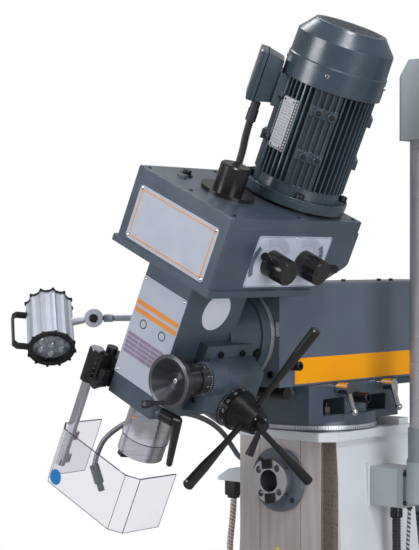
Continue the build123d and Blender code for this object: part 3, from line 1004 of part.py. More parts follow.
def make_guard_bracket():
    arm = block(GUARD_X + 4, -CAST_X, GUARD_Y - 4, CAST_FRONT + 34, BARREL_LOW + 3, BARREL_TOP - 3)
    arm = arm - block(-CAST_X - 16, -CAST_X, GUARD_Y - 5, CAST_FRONT, BARREL_LOW, BARREL_TOP)
    pitch = (BARREL_TOP - BARREL_LOW) / (BARREL_GROOVES + 1)
    barrel = [(0, 0), (0, BARREL_R)]
    for groove in range(1, BARREL_GROOVES + 1):
        middle = groove * pitch
        barrel += [(middle - 1.2, BARREL_R), (middle, BARREL_R - BARREL_GROOVE), (middle + 1.2, BARREL_R)]
    barrel += [(BARREL_TOP - BARREL_LOW, BARREL_R), (BARREL_TOP - BARREL_LOW, 0)]
    body = arm + turned(barrel, (GUARD_X, GUARD_Y, BARREL_LOW), (0, 0, 1))
    boss = (GUARD_X + 7, CAST_FRONT + 12)
    body += rod(11, (*boss, BARREL_TOP - 8), (*boss, BARREL_TOP + 7))
    thumb = (GUARD_X + 35, GUARD_Y, BARREL_LOW + 14)
    body += rod(4, thumb, (thumb[0], thumb[1] - 10, thumb[2]))
    body += rod(THUMB_R, (thumb[0], thumb[1] - 8, thumb[2]), (thumb[0], thumb[1] - 20, thumb[2] - 3))
    return body - rod(GUARD_ROD_R + RUNNING, (GUARD_X, GUARD_Y, BARREL_LOW), (GUARD_X, GUARD_Y, BARREL_TOP))


def make_guard_rod():
    body = rod(GUARD_ROD_R, (GUARD_X, GUARD_Y, GUARD_ROD_LOW), (GUARD_X, GUARD_Y, BARREL_TOP + 3))
    body += rod(GUARD_ROD_R + 3, (GUARD_X, GUARD_Y, BARREL_TOP + SLIDING), (GUARD_X, GUARD_Y, BARREL_TOP + 3))
    inner = -SCREEN_X + SCREEN_THICK
    for z in (SCREEN_TOP - 22, GUARD_ROD_LOW + 12):
        body += block(inner, GUARD_X, GUARD_Y + 2, GUARD_Y + 20, z - 9, z + 9)
        body += block(GUARD_X - 4, GUARD_X + 4, GUARD_Y, GUARD_Y + 20, z - 9, z + 9)
    return body


def screen_outline(inset):
    """Plan of the bent screen's outside, pulled in by a sheet thickness."""
    x, front = SCREEN_X - inset, SCREEN_FRONT + inset
    cut = SCREEN_CHAMFER - inset * 0.5858
    return ((-x, SCREEN_BACK), (-x, front + cut), (-x + cut, front), (x - cut, front), (x, front + cut), (x, SCREEN_BACK))


def make_guard_screen():
    outer = plan(screen_outline(0), SCREEN_LOW, SCREEN_TOP)
    return outer - plan(screen_outline(SCREEN_THICK), SCREEN_LOW, SCREEN_TOP)


# Lamp

def lamp_frame():
    return Plane(origin=LAMP_CENTRE, x_dir=(0, 0, 1), z_dir=LAMP_DIR)


def knuckle_half(side):
    """One of the two discs of the lamp's knuckle."""
    low, high = sorted((side * SLIDING / 2, side * (SLIDING / 2 + KNUCKLE_THICK)))
    place = Plane(origin=LAMP_KNUCKLE, z_dir=KNUCKLE_DIR)
    return place * rod(KNUCKLE_R, (0, 0, low), (0, 0, high))


def make_lamp_arm():
    root, knuckle = Vector(*LAMP_ROOT), Vector(*LAMP_KNUCKLE)
    along = (knuckle - root).normalized()
    shift = Vector(*KNUCKLE_DIR) * -(KNUCKLE_THICK / 2 + SLIDING / 2)
    end = knuckle + shift - along * (KNUCKLE_R - 3)
    body = Pos(*LAMP_ROOT) * Cylinder(LAMP_PIVOT_R, LAMP_PIVOT_HEIGHT) + knuckle_half(-1)
    body += rod(LAMP_TUBE_R, LAMP_ROOT, end - along * 20)
    body += rod(LAMP_NECK_R, end - along * 36, end)
    return body + rod(LAMP_SLEEVE_R, end - along * 22, end - along * 4)


def lamp_section(growth):
    """Ribbed section of the lamp's extruded body."""
    points = []
    for rib in range(LAMP_RIBS):
        middle = 2 * pi * rib / LAMP_RIBS + radians(LAMP_HANDLE_TURN)
        for radius, offset in ((LAMP_R, -0.16), (LAMP_R + 4, -0.05), (LAMP_R + 4, 0.05), (LAMP_R, 0.16)):
            points.append(((radius + growth) * cos(middle + offset), (radius + growth) * sin(middle + offset)))
    return Polygon(*points, align=None)


def make_lamp_housing():
    body = Pos(0, 0, LAMP_BACK) * extrude(lamp_section(0), LAMP_FRONT - LAMP_BACK)
    body -= rod(LAMP_R - 3.5, (0, 0, LENS_BACK - 8), (0, 0, LAMP_FRONT))
    housing = lamp_frame() * body
    knuckle, centre = Vector(*LAMP_KNUCKLE), Vector(*LAMP_CENTRE)
    shift = Vector(*KNUCKLE_DIR) * (KNUCKLE_THICK / 2 + SLIDING / 2)
    along = (centre - knuckle).normalized()
    start = knuckle + shift + along * (KNUCKLE_R - 4)
    neck = rod(LAMP_NECK_R, start, start + along * 12)
    neck += taper(LAMP_NECK_R + 2, LAMP_SLEEVE_R, start + along * 5, start + along * 38)
    return housing + knuckle_half(1) + neck


def make_lamp_cage():
    rear = Pos(0, 0, LAMP_BACK - 5) * extrude(lamp_section(1.5), 5)
    front = rod(LAMP_R + 4, (0, 0, LAMP_FRONT), (0, 0, LAMP_FRONT + LAMP_RIM))
    front += rod(LAMP_R - 3.5 - SEAT, (0, 0, LENS_FRONT), (0, 0, LAMP_FRONT))
    front -= rod(LAMP_R - 5.5, (0, 0, LENS_FRONT), (0, 0, LAMP_FRONT + LAMP_RIM))
    for lug in range(LAMP_RIBS):
        angle = 2 * pi * lug / LAMP_RIBS + radians(LAMP_HANDLE_TURN)
        x, y = (LAMP_R + 4.5) * cos(angle), (LAMP_R + 4.5) * sin(angle)
        front += rod(2.6, (x, y, LAMP_FRONT), (x, y, LAMP_FRONT + LAMP_RIM + 1.5))
        rear += rod(2.6, (x, y, LAMP_BACK - 6.5), (x, y, LAMP_BACK))
    return lamp_frame() * (rear + lamp_handle() + front)


def lamp_handle():
    """Flat strip bent into a handle on the side away from the arm, from a rib of the housing to the bezel."""
    strip, reach, near = HANDLE_STRIP, LAMP_R + HANDLE_REACH, LAMP_R - 2
    low, high, rib = LAMP_BACK + HANDLE_FROM, LAMP_FRONT + LAMP_RIM, LAMP_R + 4 + SEAT
    outline = ((rib, low), (reach - 8, low), (reach, low + 8), (reach, high - 8), (reach - 8, high),
               (near, high), (near, high - strip), (reach - 10, high - strip), (reach - strip, high - 10),
               (reach - strip, low + 10), (reach - 10, low + strip), (rib, low + strip))
    bar = extrude(Plane.XZ * Polygon(*outline, align=None), 7, both=True)
    return Rot(0, 0, LAMP_HANDLE_TURN) * bar


def make_lamp_lens():
    body = rod(LAMP_R - 3.7, (0, 0, LENS_BACK), (0, 0, LENS_FRONT))
    for led in range(7):
        reach = 0 if led == 6 else LED_REACH
        angle = radians(60 * led)
        body += Pos(reach * cos(angle), reach * sin(angle), LENS_FRONT - 4) * Sphere(LED_R)
    return lamp_frame() * body


# Cables on the column

def make_foot_conduit():
    path = route(FOOT_ROUTE, "foot conduit")
    start = FOOT_ROUTE[0]
    nut = gland(13.5, (start[0], start[1], BRACKET_LOW), start)
    pipe = ribbed(path, FOOT_CONDUIT_R, FOOT_CONDUIT_ROOT, FOOT_CONDUIT_BORE, FOOT_CONDUIT_PITCH, HOSE_TAIL)
    return Compound([pipe, nut])


def make_foot_cable():
    start = CABLE_ROUTE[0]
    nut = gland(7.5, (start[0], start[1], BRACKET_LOW), start)
    return Compound([hose(route(CABLE_ROUTE, "foot cable"), CABLE_R), nut])


def make_side_hose():
    start = SIDE_ROUTE[0]
    plug = block(PLUG_OUT, PLUG_IN, start[1] - PLUG_HALF, start[1] + PLUG_HALF, start[2], PLUG_TOP)
    path = route(SIDE_ROUTE, "side hose")
    pipe = ribbed(path, SIDE_HOSE_R, SIDE_HOSE_ROOT, SIDE_HOSE_BORE, SIDE_HOSE_PITCH, HOSE_TAIL)
    return Compound([pipe, plug])


HEAD_FRAME = Pos(0, 0, TILT_Z) * Rot(0, HEAD_TILT, 0)

MACHINE_PARTS = {
    "base": make_base, "column": make_column, "bearing_cap": make_bearing_cap,
    "horizontal_bearings": make_horizontal_bearings, "horizontal_spindle": make_horizontal_spindle,
    "horizontal_keys": make_horizontal_keys, "horizontal_motor": make_horizontal_motor,
    "post_bracket": make_post_bracket, "post_foot": make_post_foot, "readout_post": make_readout_post,
    "readout_arm": make_readout_arm, "readout_panel": make_readout_panel,
    "knee": make_knee, "elevating_screw": make_elevating_screw, "knee_crank": make_knee_crank,
    "saddle": make_saddle, "cross_handwheel": make_cross_handwheel,
    "table": make_table, "table_screw": make_table_screw, "table_handwheels": make_table_handwheels,
    "turret": make_turret, "turret_bolts": make_turret_bolts,
    "clamp_lever_front": lambda: make_clamp_lever(LEVER_Y[0]),
    "clamp_lever_rear": lambda: make_clamp_lever(LEVER_Y[1]),
    "ram_pinion": make_ram_pinion, "coolant_valve": make_coolant_valve, "coolant_hose": make_coolant_hose,
    "ram": make_ram, "ram_rack": make_ram_rack, "tilt_worm": make_tilt_worm,
    "lamp_arm": make_lamp_arm, "lamp_housing": make_lamp_housing, "lamp_cage": make_lamp_cage,
    "lamp_lens": make_lamp_lens,
    "foot_conduit": make_foot_conduit, "foot_cable": make_foot_cable, "side_hose": make_side_hose,
}

HEAD_PARTS = {
    "head_casting": make_head_casting, "gearbox_housing": make_gearbox_housing, "gearbox_cover": make_gearbox_cover,
    "drawbar_cap": make_drawbar_cap, "motor_frame": make_motor_frame, "fan_cover": make_fan_cover,
    "terminal_box": make_terminal_box, "motor_conduit": make_motor_conduit, "motor_rotor": make_motor_rotor,
    "drive_sleeve": make_drive_sleeve, "quill": make_quill, "quill_bearings": make_quill_bearings,
    "spindle": make_spindle, "spindle_keys": make_spindle_keys,
    "capstan_hub": make_capstan_hub, "capstan_handles": make_capstan_handles,
    "fine_feed_wheel": make_fine_feed_wheel, "quill_lock_lever": make_quill_lock_lever,
    "speed_knob_front": lambda: make_speed_knob(KNOB_Y[0], KNOB_POINT[0]),
    "speed_knob_rear": lambda: make_speed_knob(KNOB_Y[1], KNOB_POINT[1]),
    "guard_bracket": make_guard_bracket, "guard_rod": make_guard_rod, "guard_screen": make_guard_screen,
}

for name, maker in MACHINE_PARTS.items():
    export_step(maker(), f"parts/{name}.step")
for name, maker in HEAD_PARTS.items():
    export_step(HEAD_FRAME * maker(), f"parts/{name}.step")
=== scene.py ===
# %% [markdown]
# # A universal milling machine, dressed for the studio
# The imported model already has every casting, shaft and lever in its real place. This lesson adds what
# paint, print, screws and hoses add to it. The frame is loaded first and never moved.

# %% Load the frame
import json
import math
import bpy
from mathutils import Matrix, Vector


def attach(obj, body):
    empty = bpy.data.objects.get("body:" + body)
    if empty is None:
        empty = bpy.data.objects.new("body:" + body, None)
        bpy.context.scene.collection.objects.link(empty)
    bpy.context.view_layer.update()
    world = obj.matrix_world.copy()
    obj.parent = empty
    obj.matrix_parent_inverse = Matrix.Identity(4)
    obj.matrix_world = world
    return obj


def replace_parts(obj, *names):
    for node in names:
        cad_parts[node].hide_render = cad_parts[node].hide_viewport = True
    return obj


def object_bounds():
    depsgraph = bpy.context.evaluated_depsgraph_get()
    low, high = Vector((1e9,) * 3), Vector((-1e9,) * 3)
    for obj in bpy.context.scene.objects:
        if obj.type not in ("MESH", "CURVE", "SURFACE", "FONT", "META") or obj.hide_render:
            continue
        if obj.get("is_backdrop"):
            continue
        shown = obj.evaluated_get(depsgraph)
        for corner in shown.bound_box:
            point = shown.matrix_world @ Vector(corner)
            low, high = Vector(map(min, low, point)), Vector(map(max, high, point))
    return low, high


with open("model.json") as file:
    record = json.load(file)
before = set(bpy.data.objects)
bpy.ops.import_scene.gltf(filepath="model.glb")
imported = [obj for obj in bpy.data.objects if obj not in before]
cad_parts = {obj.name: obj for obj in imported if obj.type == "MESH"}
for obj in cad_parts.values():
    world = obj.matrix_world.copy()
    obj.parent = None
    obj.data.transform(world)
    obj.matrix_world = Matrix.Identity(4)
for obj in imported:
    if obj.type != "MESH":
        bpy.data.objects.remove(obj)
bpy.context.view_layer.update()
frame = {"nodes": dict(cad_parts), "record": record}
nodes = frame["nodes"]

# %% [markdown]
# ## Two frames in millimetres
# The machine's own frame is the world. The vertical head leans by 24.3 degrees about an axis along Y, so
# its pieces are easier to draw upright and turn afterwards. Both matrices also take millimetres to metres.

# %% Frames and colours
MM = 0.001
HEAD_TILT = math.radians(24.3)
TILT_AXIS_Z = 1.488
MACHINE = Matrix.Scale(MM, 4)
HEAD = Matrix.Translation((0, 0, TILT_AXIS_Z)) @ Matrix.Rotation(HEAD_TILT, 4, "Y") @ MACHINE


def colour(code):
    """sRGB hex to the linear colour that shaders use."""
    parts = [int(code[i:i + 2], 16) / 255 for i in (1, 3, 5)]
    linear = [c / 12.92 if c <= 0.04045 else ((c + 0.055) / 1.055) ** 2.4 for c in parts]
    return (*linear, 1.0)


print("head axis up", [round(v, 4) for v in (HEAD.to_3x3() @ Vector((0, 0, 1000)))])

# %% [markdown]
# ## The camera
# It was found by fitting the photograph's straight edges: about 3.3 m away, 1.6 m above the floor, looking
# nearly level from the front right. The lens is long, so verticals stay upright.

# %% Camera
CAMERA_PLACE = (2.0122, -2.5862, 1.6321)
CAMERA_TURN, CAMERA_PITCH = math.radians(41.70), math.radians(-0.56)
CAMERA_LENS, SENSOR = 103.6, 36.0

lens = bpy.data.cameras.new("studio_camera")
lens.lens, lens.sensor_width, lens.sensor_fit = CAMERA_LENS, SENSOR, "AUTO"
lens.clip_end = 60
camera = bpy.data.objects.new("studio_camera", lens)
bpy.context.scene.collection.objects.link(camera)
look = Vector((-math.sin(CAMERA_TURN) * math.cos(CAMERA_PITCH),
               math.cos(CAMERA_TURN) * math.cos(CAMERA_PITCH), math.sin(CAMERA_PITCH)))
camera.location = CAMERA_PLACE
camera.rotation_euler = look.to_track_quat("-Z", "Y").to_euler()
bpy.context.scene.camera = camera
print("camera looks along", [round(v, 3) for v in look])

# %% [markdown]
# ## A helper for shader nodes
# Every finish below is a small tree on Object coordinates. One function adds a node, sets it and links it.

# %% Node helper
def feed(tree, node, inputs):
    """Gives each named input of a node a value or another node's socket."""
    for key, value in inputs.items():
        if isinstance(value, bpy.types.NodeSocket):
            tree.links.new(value, node.inputs[key])
        else:
            node.inputs[key].default_value = value


def add(tree, kind, inputs=None, **settings):
    """Adds a node with its settings and inputs."""
    node = tree.nodes.new(kind)
    for key, value in settings.items():
        setattr(node, key, value)
    feed(tree, node, inputs or {})
    return node


def combine(tree, operation, *values):
    """The result of a math node."""
    return add(tree, "ShaderNodeMath", dict(enumerate(values)), operation=operation).outputs[0]


print("node helper ready")

# %% [markdown]
# ## Patterns in a finish
# Real paint, metal and plastic are never one flat colour: they cloud, streak and catch the light unevenly.
# Image textures could show that, but soft noise at a real size in millimetres needs no unwrapping and holds
# from every side.

# %% Pattern helpers
def begin(name, metallic, roughness):
    """A new material, its tree, its shader and the Object coordinates."""
    material = bpy.data.materials.new(name)
    material.use_nodes = True
    tree = material.node_tree
    shader = tree.nodes["Principled BSDF"]
    feed(tree, shader, {"Metallic": metallic, "Roughness": roughness})
    where = add(tree, "ShaderNodeTexCoord").outputs["Object"]
    return material, tree, shader, where


def mottle(tree, where, size_mm, low=0.0, high=1.0, detail=3.0):
    """A soft noise of a given grain, spread between two values."""
    cloud = add(tree, "ShaderNodeTexNoise", {"Vector": where, "Scale": 1 / (size_mm * MM), "Detail": detail})
    spread = add(tree, "ShaderNodeMapRange", {"Value": cloud.outputs["Fac"], "From Min": 0.3, "From Max": 0.7,
                                              "To Min": low, "To Max": high})
    return spread.outputs["Result"]


def mix(tree, factor, first, second):
    """Mixes two colours, each a value or a socket."""
    return add(tree, "ShaderNodeMix", {0: factor, 6: first, 7: second}, data_type="RGBA").outputs[2]


def tones(tree, factor, first, second):
    """Mixes two sRGB tones."""
    return mix(tree, factor, colour(first), colour(second))


def between(tree, value, low, high):
    """1 where a value lies between two limits, else 0."""
    return combine(tree, "MULTIPLY", combine(tree, "GREATER_THAN", value, low),
                   combine(tree, "LESS_THAN", value, high))


def bump(tree, shader, height, depth_mm, strength=1.0, edge_mm=0.0):
    """Gives the shader a relief of a real depth, and edges rounded to a radius where one is given."""
    relief = add(tree, "ShaderNodeBump", {"Height": height, "Distance": depth_mm * MM, "Strength": strength})
    if edge_mm:
        edge = add(tree, "ShaderNodeBevel", {"Radius": edge_mm * MM}, samples=6)
        tree.links.new(edge.outputs["Normal"], relief.inputs["Normal"])
    tree.links.new(relief.outputs["Normal"], shader.inputs["Normal"])


print("pattern helpers ready")

# %% [markdown]
# ## Enamel and paint
# The castings are filled, sprayed and stoved: a semi-gloss skin with a slight orange peel and faint clouds.
# Orange peel is about 2 mm across, too fine for this picture, so it is drawn at 7 mm.

# %% Paint
EDGE_MM, CLOUD_MM, GLOSS_MM = 1.6, 90, 30


def paint(name, tone, cloudy, roughness=0.33, peel_mm=7, peel_depth=0.05):
    material, tree, shader, where = begin(name, 0.0, roughness)
    feed(tree, shader, {"Base Color": tones(tree, mottle(tree, where, CLOUD_MM), tone, cloudy),
                        "Roughness": mottle(tree, where, GLOSS_MM, roughness - 0.05, roughness + 0.07),
                        "Coat Weight": 0.28, "Coat Roughness": 0.2})
    bump(tree, shader, mottle(tree, where, peel_mm, detail=1.0), peel_depth, edge_mm=EDGE_MM)
    return material


slate_enamel = paint("slate_enamel", "#434E5B", "#3A4551")
motor_enamel = paint("motor_enamel", "#36444F", "#2E3C47", 0.28)
pale_enamel = paint("pale_enamel", "#D5D8DC", "#CDD1D6")
die_cast_paint = paint("die_cast_paint", "#99A3A5", "#919B9E", 0.42)
bracket_paint = paint("bracket_paint", "#ABB3B7", "#A3ABB0", 0.42)
cap_paint = paint("cap_paint", "#5E6670", "#575F69", 0.42)
sleeve_paint = paint("sleeve_paint", "#7F888B", "#788184", 0.42)
knuckle_paint = paint("knuckle_paint", "#A6ADB8", "#9BA3AE", 0.4)
panel_plastic = paint("panel_plastic", "#565A60", "#50545A", 0.55, 3, 0.08)
print("paints", slate_enamel.name, pale_enamel.name, die_cast_paint.name)

# %% [markdown]
# ## The ram's stripe
# A band of amber runs along both sides of the ram. It is masked paint, so it is the same enamel with
# another colour between two heights, behind the flange. The stop bar under the ram's nose is oiled steel,
# almost black.

# %% Ram enamel with its stripe
STRIPE_Z, STRIPE_Y = (1.391, 1.441), (-0.1978, 2.0)
STOP_BAR_Z, STOP_BAR_Y = (1.2, 1.3865), (-0.2265, -0.2015)
RAM_PALER = 0.22


def repaint(source, name):
    """A copy of a paint: its material, tree, shader, place, axes and colour."""
    material = source.copy()
    material.name = name
    tree = material.node_tree
    shader = tree.nodes["Principled BSDF"]
    where = next(n for n in tree.nodes if n.type == "TEX_COORD").outputs["Object"]
    axes = add(tree, "ShaderNodeSeparateXYZ", {0: where}).outputs
    return material, tree, shader, where, axes, shader.inputs["Base Color"].links[0].from_socket


def striped_enamel():
    material, tree, shader, _, axes, ground = repaint(slate_enamel, "striped_enamel")
    stripe = combine(tree, "MULTIPLY", between(tree, axes["Z"], *STRIPE_Z),
                     between(tree, axes["Y"], *STRIPE_Y))
    bar = combine(tree, "MULTIPLY", between(tree, axes["Y"], *STOP_BAR_Y),
                  between(tree, axes["Z"], *STOP_BAR_Z))
    plain = mix(tree, RAM_PALER, ground, colour("#8A94A2"))
    painted = mix(tree, stripe, plain, colour("#F2A000"))
    feed(tree, shader, {"Base Color": mix(tree, bar, painted, colour("#1D1B1A")), "Coat Weight": 0.05,
                        "Specular IOR Level": 0.3})
    return material


ram_enamel = striped_enamel()
print("stripe between heights", STRIPE_Z)

# %% [markdown]
# ## The column: paint and scraped ways
# One casting has two finishes. In front, the ways are scraped iron: warm grey with faint vertical marks,
# and dotted scraper marks on the sides behind their face. Those sides, out to the shoulder, are also painted
# darker as painted shade of the dovetail's undercut. Everything else is pale enamel, so the finish is chosen
# by place.

# %% Column finish
WAY_FRONT, WAY_FACE, WAY_BACK = -0.1165, -0.1135, -0.0833
WAY_LOW, WAY_HIGH, WAY_SIDE = 0.188, 1.2715, 0.1235
SCRAPE_MM, STREAK_MM, IRON_SHINE = 9, 14, 0.35


def column_finish():
    material, tree, shader, where, axes, ground = repaint(pale_enamel, "column_enamel_and_iron")
    front = between(tree, axes["Y"], WAY_FRONT, WAY_BACK)
    iron = combine(tree, "MULTIPLY", front, between(tree, axes["Z"], WAY_LOW, WAY_HIGH))
    iron = combine(tree, "MULTIPLY", iron, between(tree, axes["X"], -WAY_SIDE, WAY_SIDE))
    # Sides behind the way's face: real dotted scraper marks, darkened further as painted shade of the
    # undercut.
    dots = add(tree, "ShaderNodeTexVoronoi", {"Vector": where, "Scale": 1 / (SCRAPE_MM * MM),
                                              "Randomness": 0.35})
    dotted = add(tree, "ShaderNodeMapRange", {"Value": dots.outputs["Distance"], "From Min": 0.15,
                                              "From Max": 0.55})
    flank_iron_and_shade = tones(tree, dotted.outputs["Result"], "#584E4C", "#94867F")
    upright = add(tree, "ShaderNodeMapping", {"Vector": where, "Scale": (1.0, 1.0, 0.08)})
    face_tone = tones(tree, mottle(tree, upright.outputs["Vector"], STREAK_MM), "#C9C0BF", "#B5ACAB")
    iron_tone = mix(tree, between(tree, axes["Y"], WAY_FACE, WAY_BACK), face_tone, flank_iron_and_shade)
    feed(tree, shader, {"Base Color": mix(tree, iron, ground, iron_tone),
                        "Metallic": combine(tree, "MULTIPLY", iron, IRON_SHINE)})
    return material


column_enamel = column_finish()
print("ways are scraped from Z", WAY_LOW, "to", WAY_HIGH)

# %% [markdown]
# ## Bare and bright metal
# Turned steel shows fine rings, ground iron a faint cross grain, chrome almost nothing. Rings are a
# fraction of a millimetre apart on a real quill, too fine for this picture, so they are drawn 3 to 4 mm
# apart.

# %% Metals
def metal(name, tone, shade, roughness, grain_mm=3.0, lean=False, depth=0.004, stretch=(0.06, 0.06, 1.0),
          bare=1.0):
    """Bare metal with a grain that runs round its own axis."""
    material, tree, shader, where = begin(name, bare, roughness)
    turn = (0, -HEAD_TILT, 0) if lean else (0, 0, 0)
    place = add(tree, "ShaderNodeMapping", {"Vector": where, "Rotation": turn, "Scale": stretch})
    grain = mottle(tree, place.outputs["Vector"], grain_mm, detail=2.0)
    feed(tree, shader, {"Base Color": tones(tree, grain, tone, shade),
                        "Roughness": mottle(tree, where, 70, roughness - 0.02, roughness + 0.03, 1.0)})
    if depth:
        bump(tree, shader, grain, depth, 0.4)
    return material


turned_steel = metal("turned_steel", "#D3D4DA", "#C9CAD0", 0.24, stretch=(1.0, 0.06, 1.0), depth=0.002)
quill_steel = metal("quill_steel", "#D4D5DC", "#C4C5CC", 0.22, 4, lean=True, depth=0.0)
nose_steel = metal("nose_steel", "#C0C1C8", "#B2B3BA", 0.22, 4, lean=True, depth=0.0)
ground_iron = metal("ground_iron", "#96928E", "#86827E", 0.38, 5, stretch=(0.05, 1.0, 1.0))
chrome = metal("chrome", "#D8D9DB", "#CACBCE", 0.09, 12, depth=0.002)
anodised = metal("anodised_aluminium", "#CCCFD8", "#C5C8D2", 0.5, 30, depth=0.001, stretch=(1.0, 1.0, 1.0),
                 bare=0.75)
brass = metal("brass", "#B8924E", "#A48144", 0.3, 5)
dial_silver = metal("dial_silver", "#C9CCD2", "#BFC2C8", 0.38, 12, depth=0.002, bare=0.7)
blackened = metal("blackened_steel", "#2B2B2E", "#232326", 0.36, 4, bare=0.6)
post_tube = metal("post_tube", "#AEADB2", "#A6A5AB", 0.28, 60, depth=0.0, bare=0.35)
hose_metal = metal("hose_metal", "#85888C", "#74777C", 0.42, 5)
print("metals", turned_steel.name, chrome.name, blackened.name)

# %% [markdown]
# ## The dished wheel
# The fine-feed handwheel is a black dish turned on a lathe. Its rings are far too fine to model, but they
# throw fan-shaped lights, so the shader stretches its highlights round the wheel's axis. The flat land of
# the rim is paler.

# %% Dished wheel
DISH, LAND_REACH, LAND_Y = (104, -530, -34), (0.0416, 0.06), (-0.5303, -0.5288)


def dished_wheel():
    """Black turned metal: rings in the cone throw fan-shaped lights, and the land of the rim is paler."""
    material, tree, shader, where = begin("dished_wheel", 0.8, 0.34)
    centre = HEAD @ Vector(DISH)
    flat = add(tree, "ShaderNodeMapping", {"Vector": where, "Location": (-centre.x, 0, -centre.z),
                                           "Scale": (1, 0, 1)})
    reach = add(tree, "ShaderNodeVectorMath", {0: flat.outputs["Vector"]},
                operation="LENGTH").outputs["Value"]
    axes = add(tree, "ShaderNodeSeparateXYZ", {0: where}).outputs
    land = combine(tree, "MULTIPLY", between(tree, reach, *LAND_REACH), between(tree, axes["Y"], *LAND_Y))
    rings = add(tree, "ShaderNodeTangent", direction_type="RADIAL", axis="Y")
    feed(tree, shader, {"Base Color": tones(tree, land, "#45464B", "#6E6E74"), "Anisotropic": 0.9,
                        "Anisotropic Rotation": 0.25, "Tangent": rings.outputs["Tangent"]})
    return material


wheel_black = dished_wheel()
print("dished wheel", wheel_black.name)

# %% [markdown]
# ## Plastics and rubber
# Knobs and handles are black phenolic, moulded and slightly waxy, and the conduits are black rubber. Both
# are one smooth colour in the picture, so a faint cloud and a shallow relief are enough.

# %% Plastics and rubber
def plastic(name, tone, cloudy, roughness, grain_mm=4, depth=0.015):
    material, tree, shader, where = begin(name, 0.0, roughness)
    feed(tree, shader, {"Base Color": tones(tree, mottle(tree, where, 40), tone, cloudy),
                        "Roughness": mottle(tree, where, 50, roughness - 0.03, roughness + 0.04, 1.0)})
    bump(tree, shader, mottle(tree, where, grain_mm, detail=1.0), depth)
    return material


black_phenolic = plastic("black_phenolic", "#161618", "#1D1D1F", 0.2, 12, 0.01)
black_rubber = plastic("black_rubber", "#26272A", "#2F3033", 0.55)
grey_hose = plastic("grey_hose", "#8E9195", "#9A9DA0", 0.5)
oiler_yellow = plastic("oiler_yellow", "#D9C24A", "#CDB640", 0.4)
nozzle_grey = plastic("nozzle_grey", "#4E545C", "#464C54", 0.45)
print("plastics", black_phenolic.name, black_rubber.name)

# %% [markdown]
# ## Hoses with a spiral
# Two lines beside the column have a spiral in another colour: a vinyl hose and a wrapped cable. Both hang
# nearly straight down, so the spiral can be drawn from the height and a little slope, without unwrapping
# the tube.

# %% Spiral finishes
SPIRAL_SLOPE = 0.35


def wound(name, tone, band, pitch_mm, share):
    """Vinyl with a spiral in another colour, for hoses that hang nearly straight down."""
    material, tree, shader, where = begin(name, 0.0, 0.5)
    axes = add(tree, "ShaderNodeSeparateXYZ", {0: where}).outputs
    slope = combine(tree, "ADD", axes["X"], axes["Y"])
    rise = combine(tree, "MULTIPLY_ADD", slope, SPIRAL_SLOPE, axes["Z"])
    part = combine(tree, "FRACT", combine(tree, "DIVIDE", rise, pitch_mm * MM))
    feed(tree, shader, {"Base Color": tones(tree, between(tree, part, 0.0, share), tone, band)})
    bump(tree, shader, mottle(tree, where, 5, detail=1.0), 0.02)
    return material


pale_hose = wound("pale_hose", "#DDD6D2", "#A98F86", 8, 0.4)
wrapped_cable = wound("wrapped_cable", "#B9BBBF", "#3A3B3F", 9, 0.45)
print("spirals", pale_hose.name, wrapped_cable.name)

# %% [markdown]
# ## Plates and print
# Printed plates are white enamel on thin aluminium, and each ink is one screen-printed colour. Every ink is
# a finish of its own, because each print lies on the plate as a thin piece and not as a picture.

# %% Plates and print
PLATE, INKED = (0.36, 6, 0.005), (0.4, 6, 0.01)
plate_white = plastic("plate_white", "#ACB0BC", "#A6AAB7", *PLATE)
knob_plate_grey = plastic("knob_plate_grey", "#BCC1CE", "#B5BBC9", *PLATE)
label_white = plastic("label_white", "#D0D3DC", "#CACDD7", *PLATE)
print_orange = plastic("print_orange", "#D98A33", "#D0822D", *INKED)
print_grey = plastic("print_grey", "#8A8892", "#827F8B", *INKED)
print_violet = plastic("print_violet", "#86788C", "#7E7184", *INKED)
print_dark = plastic("print_dark", "#2E3034", "#35373B", *INKED)
print_pale = plastic("print_pale", "#AEB2C0", "#A6AAB9", *INKED)
print_slate = plastic("print_slate", "#5E6779", "#586172", *INKED)
rating_grey = plastic("rating_grey", "#A9AAAE", "#9B9CA1", 0.4, 3, 0.03)
label_blue = plastic("label_blue", "#1D6FB5", "#1A68AB", 0.35, 6, 0.01)
print("print finishes", plate_white.name, print_orange.name)

# %% [markdown]
# ## Clear plastic and glass
# The guard is clear polycarbonate, whose sawn edges look dark, so its edges are tinted by their place on
# the sheet. The lamp's lens mirrors its surroundings; its clouded grey is painted reflection, under a clear
# coat.

# %% Clear plastic and glass
SCREEN_TOP, SCREEN_LOW, SCREEN_BACK, SCREEN_EDGE = -0.232, -0.346, -0.425, 0.0012


def clear_sheet():
    material, tree, shader, where = begin("clear_polycarbonate", 0.0, 0.02)
    raised = add(tree, "ShaderNodeMapping", {"Vector": where, "Location": (0, 0, -TILT_AXIS_Z)})
    upright = add(tree, "ShaderNodeMapping", {"Vector": raised.outputs["Vector"],
                                              "Rotation": (0, -HEAD_TILT, 0)})
    axes = add(tree, "ShaderNodeSeparateXYZ", {0: upright.outputs["Vector"]}).outputs
    inside = between(tree, axes["Z"], SCREEN_LOW + SCREEN_EDGE, SCREEN_TOP - SCREEN_EDGE)
    ahead = between(tree, axes["Y"], -1.0, SCREEN_BACK - SCREEN_EDGE)
    clear = combine(tree, "MULTIPLY", inside, ahead)
    feed(tree, shader, {"Base Color": tones(tree, clear, "#7F8498", "#EBEBF0"), "Transmission Weight": 1.0,
                        "IOR": 1.45, "Roughness": mottle(tree, where, 60, 0.01, 0.05)})
    return material


def lamp_lens_glass():
    material, tree, shader, where = begin("lamp_lens_glass", 0.35, 0.1)
    # Clouded grey base colour: painted reflection of the lens's surroundings.
    feed(tree, shader, {"Base Color": tones(tree, mottle(tree, where, 14), "#7E868E", "#A9B1B8"),
                        "Coat Weight": 1.0})
    return material


polycarbonate, lens_glass = clear_sheet(), lamp_lens_glass()
print("clear finishes", polycarbonate.name, lens_glass.name)

# %% [markdown]
# ## Finishes for the CAD nodes
# Each slot of the record names a finish. A few nodes that share a slot look different on the real machine
# and get their own.

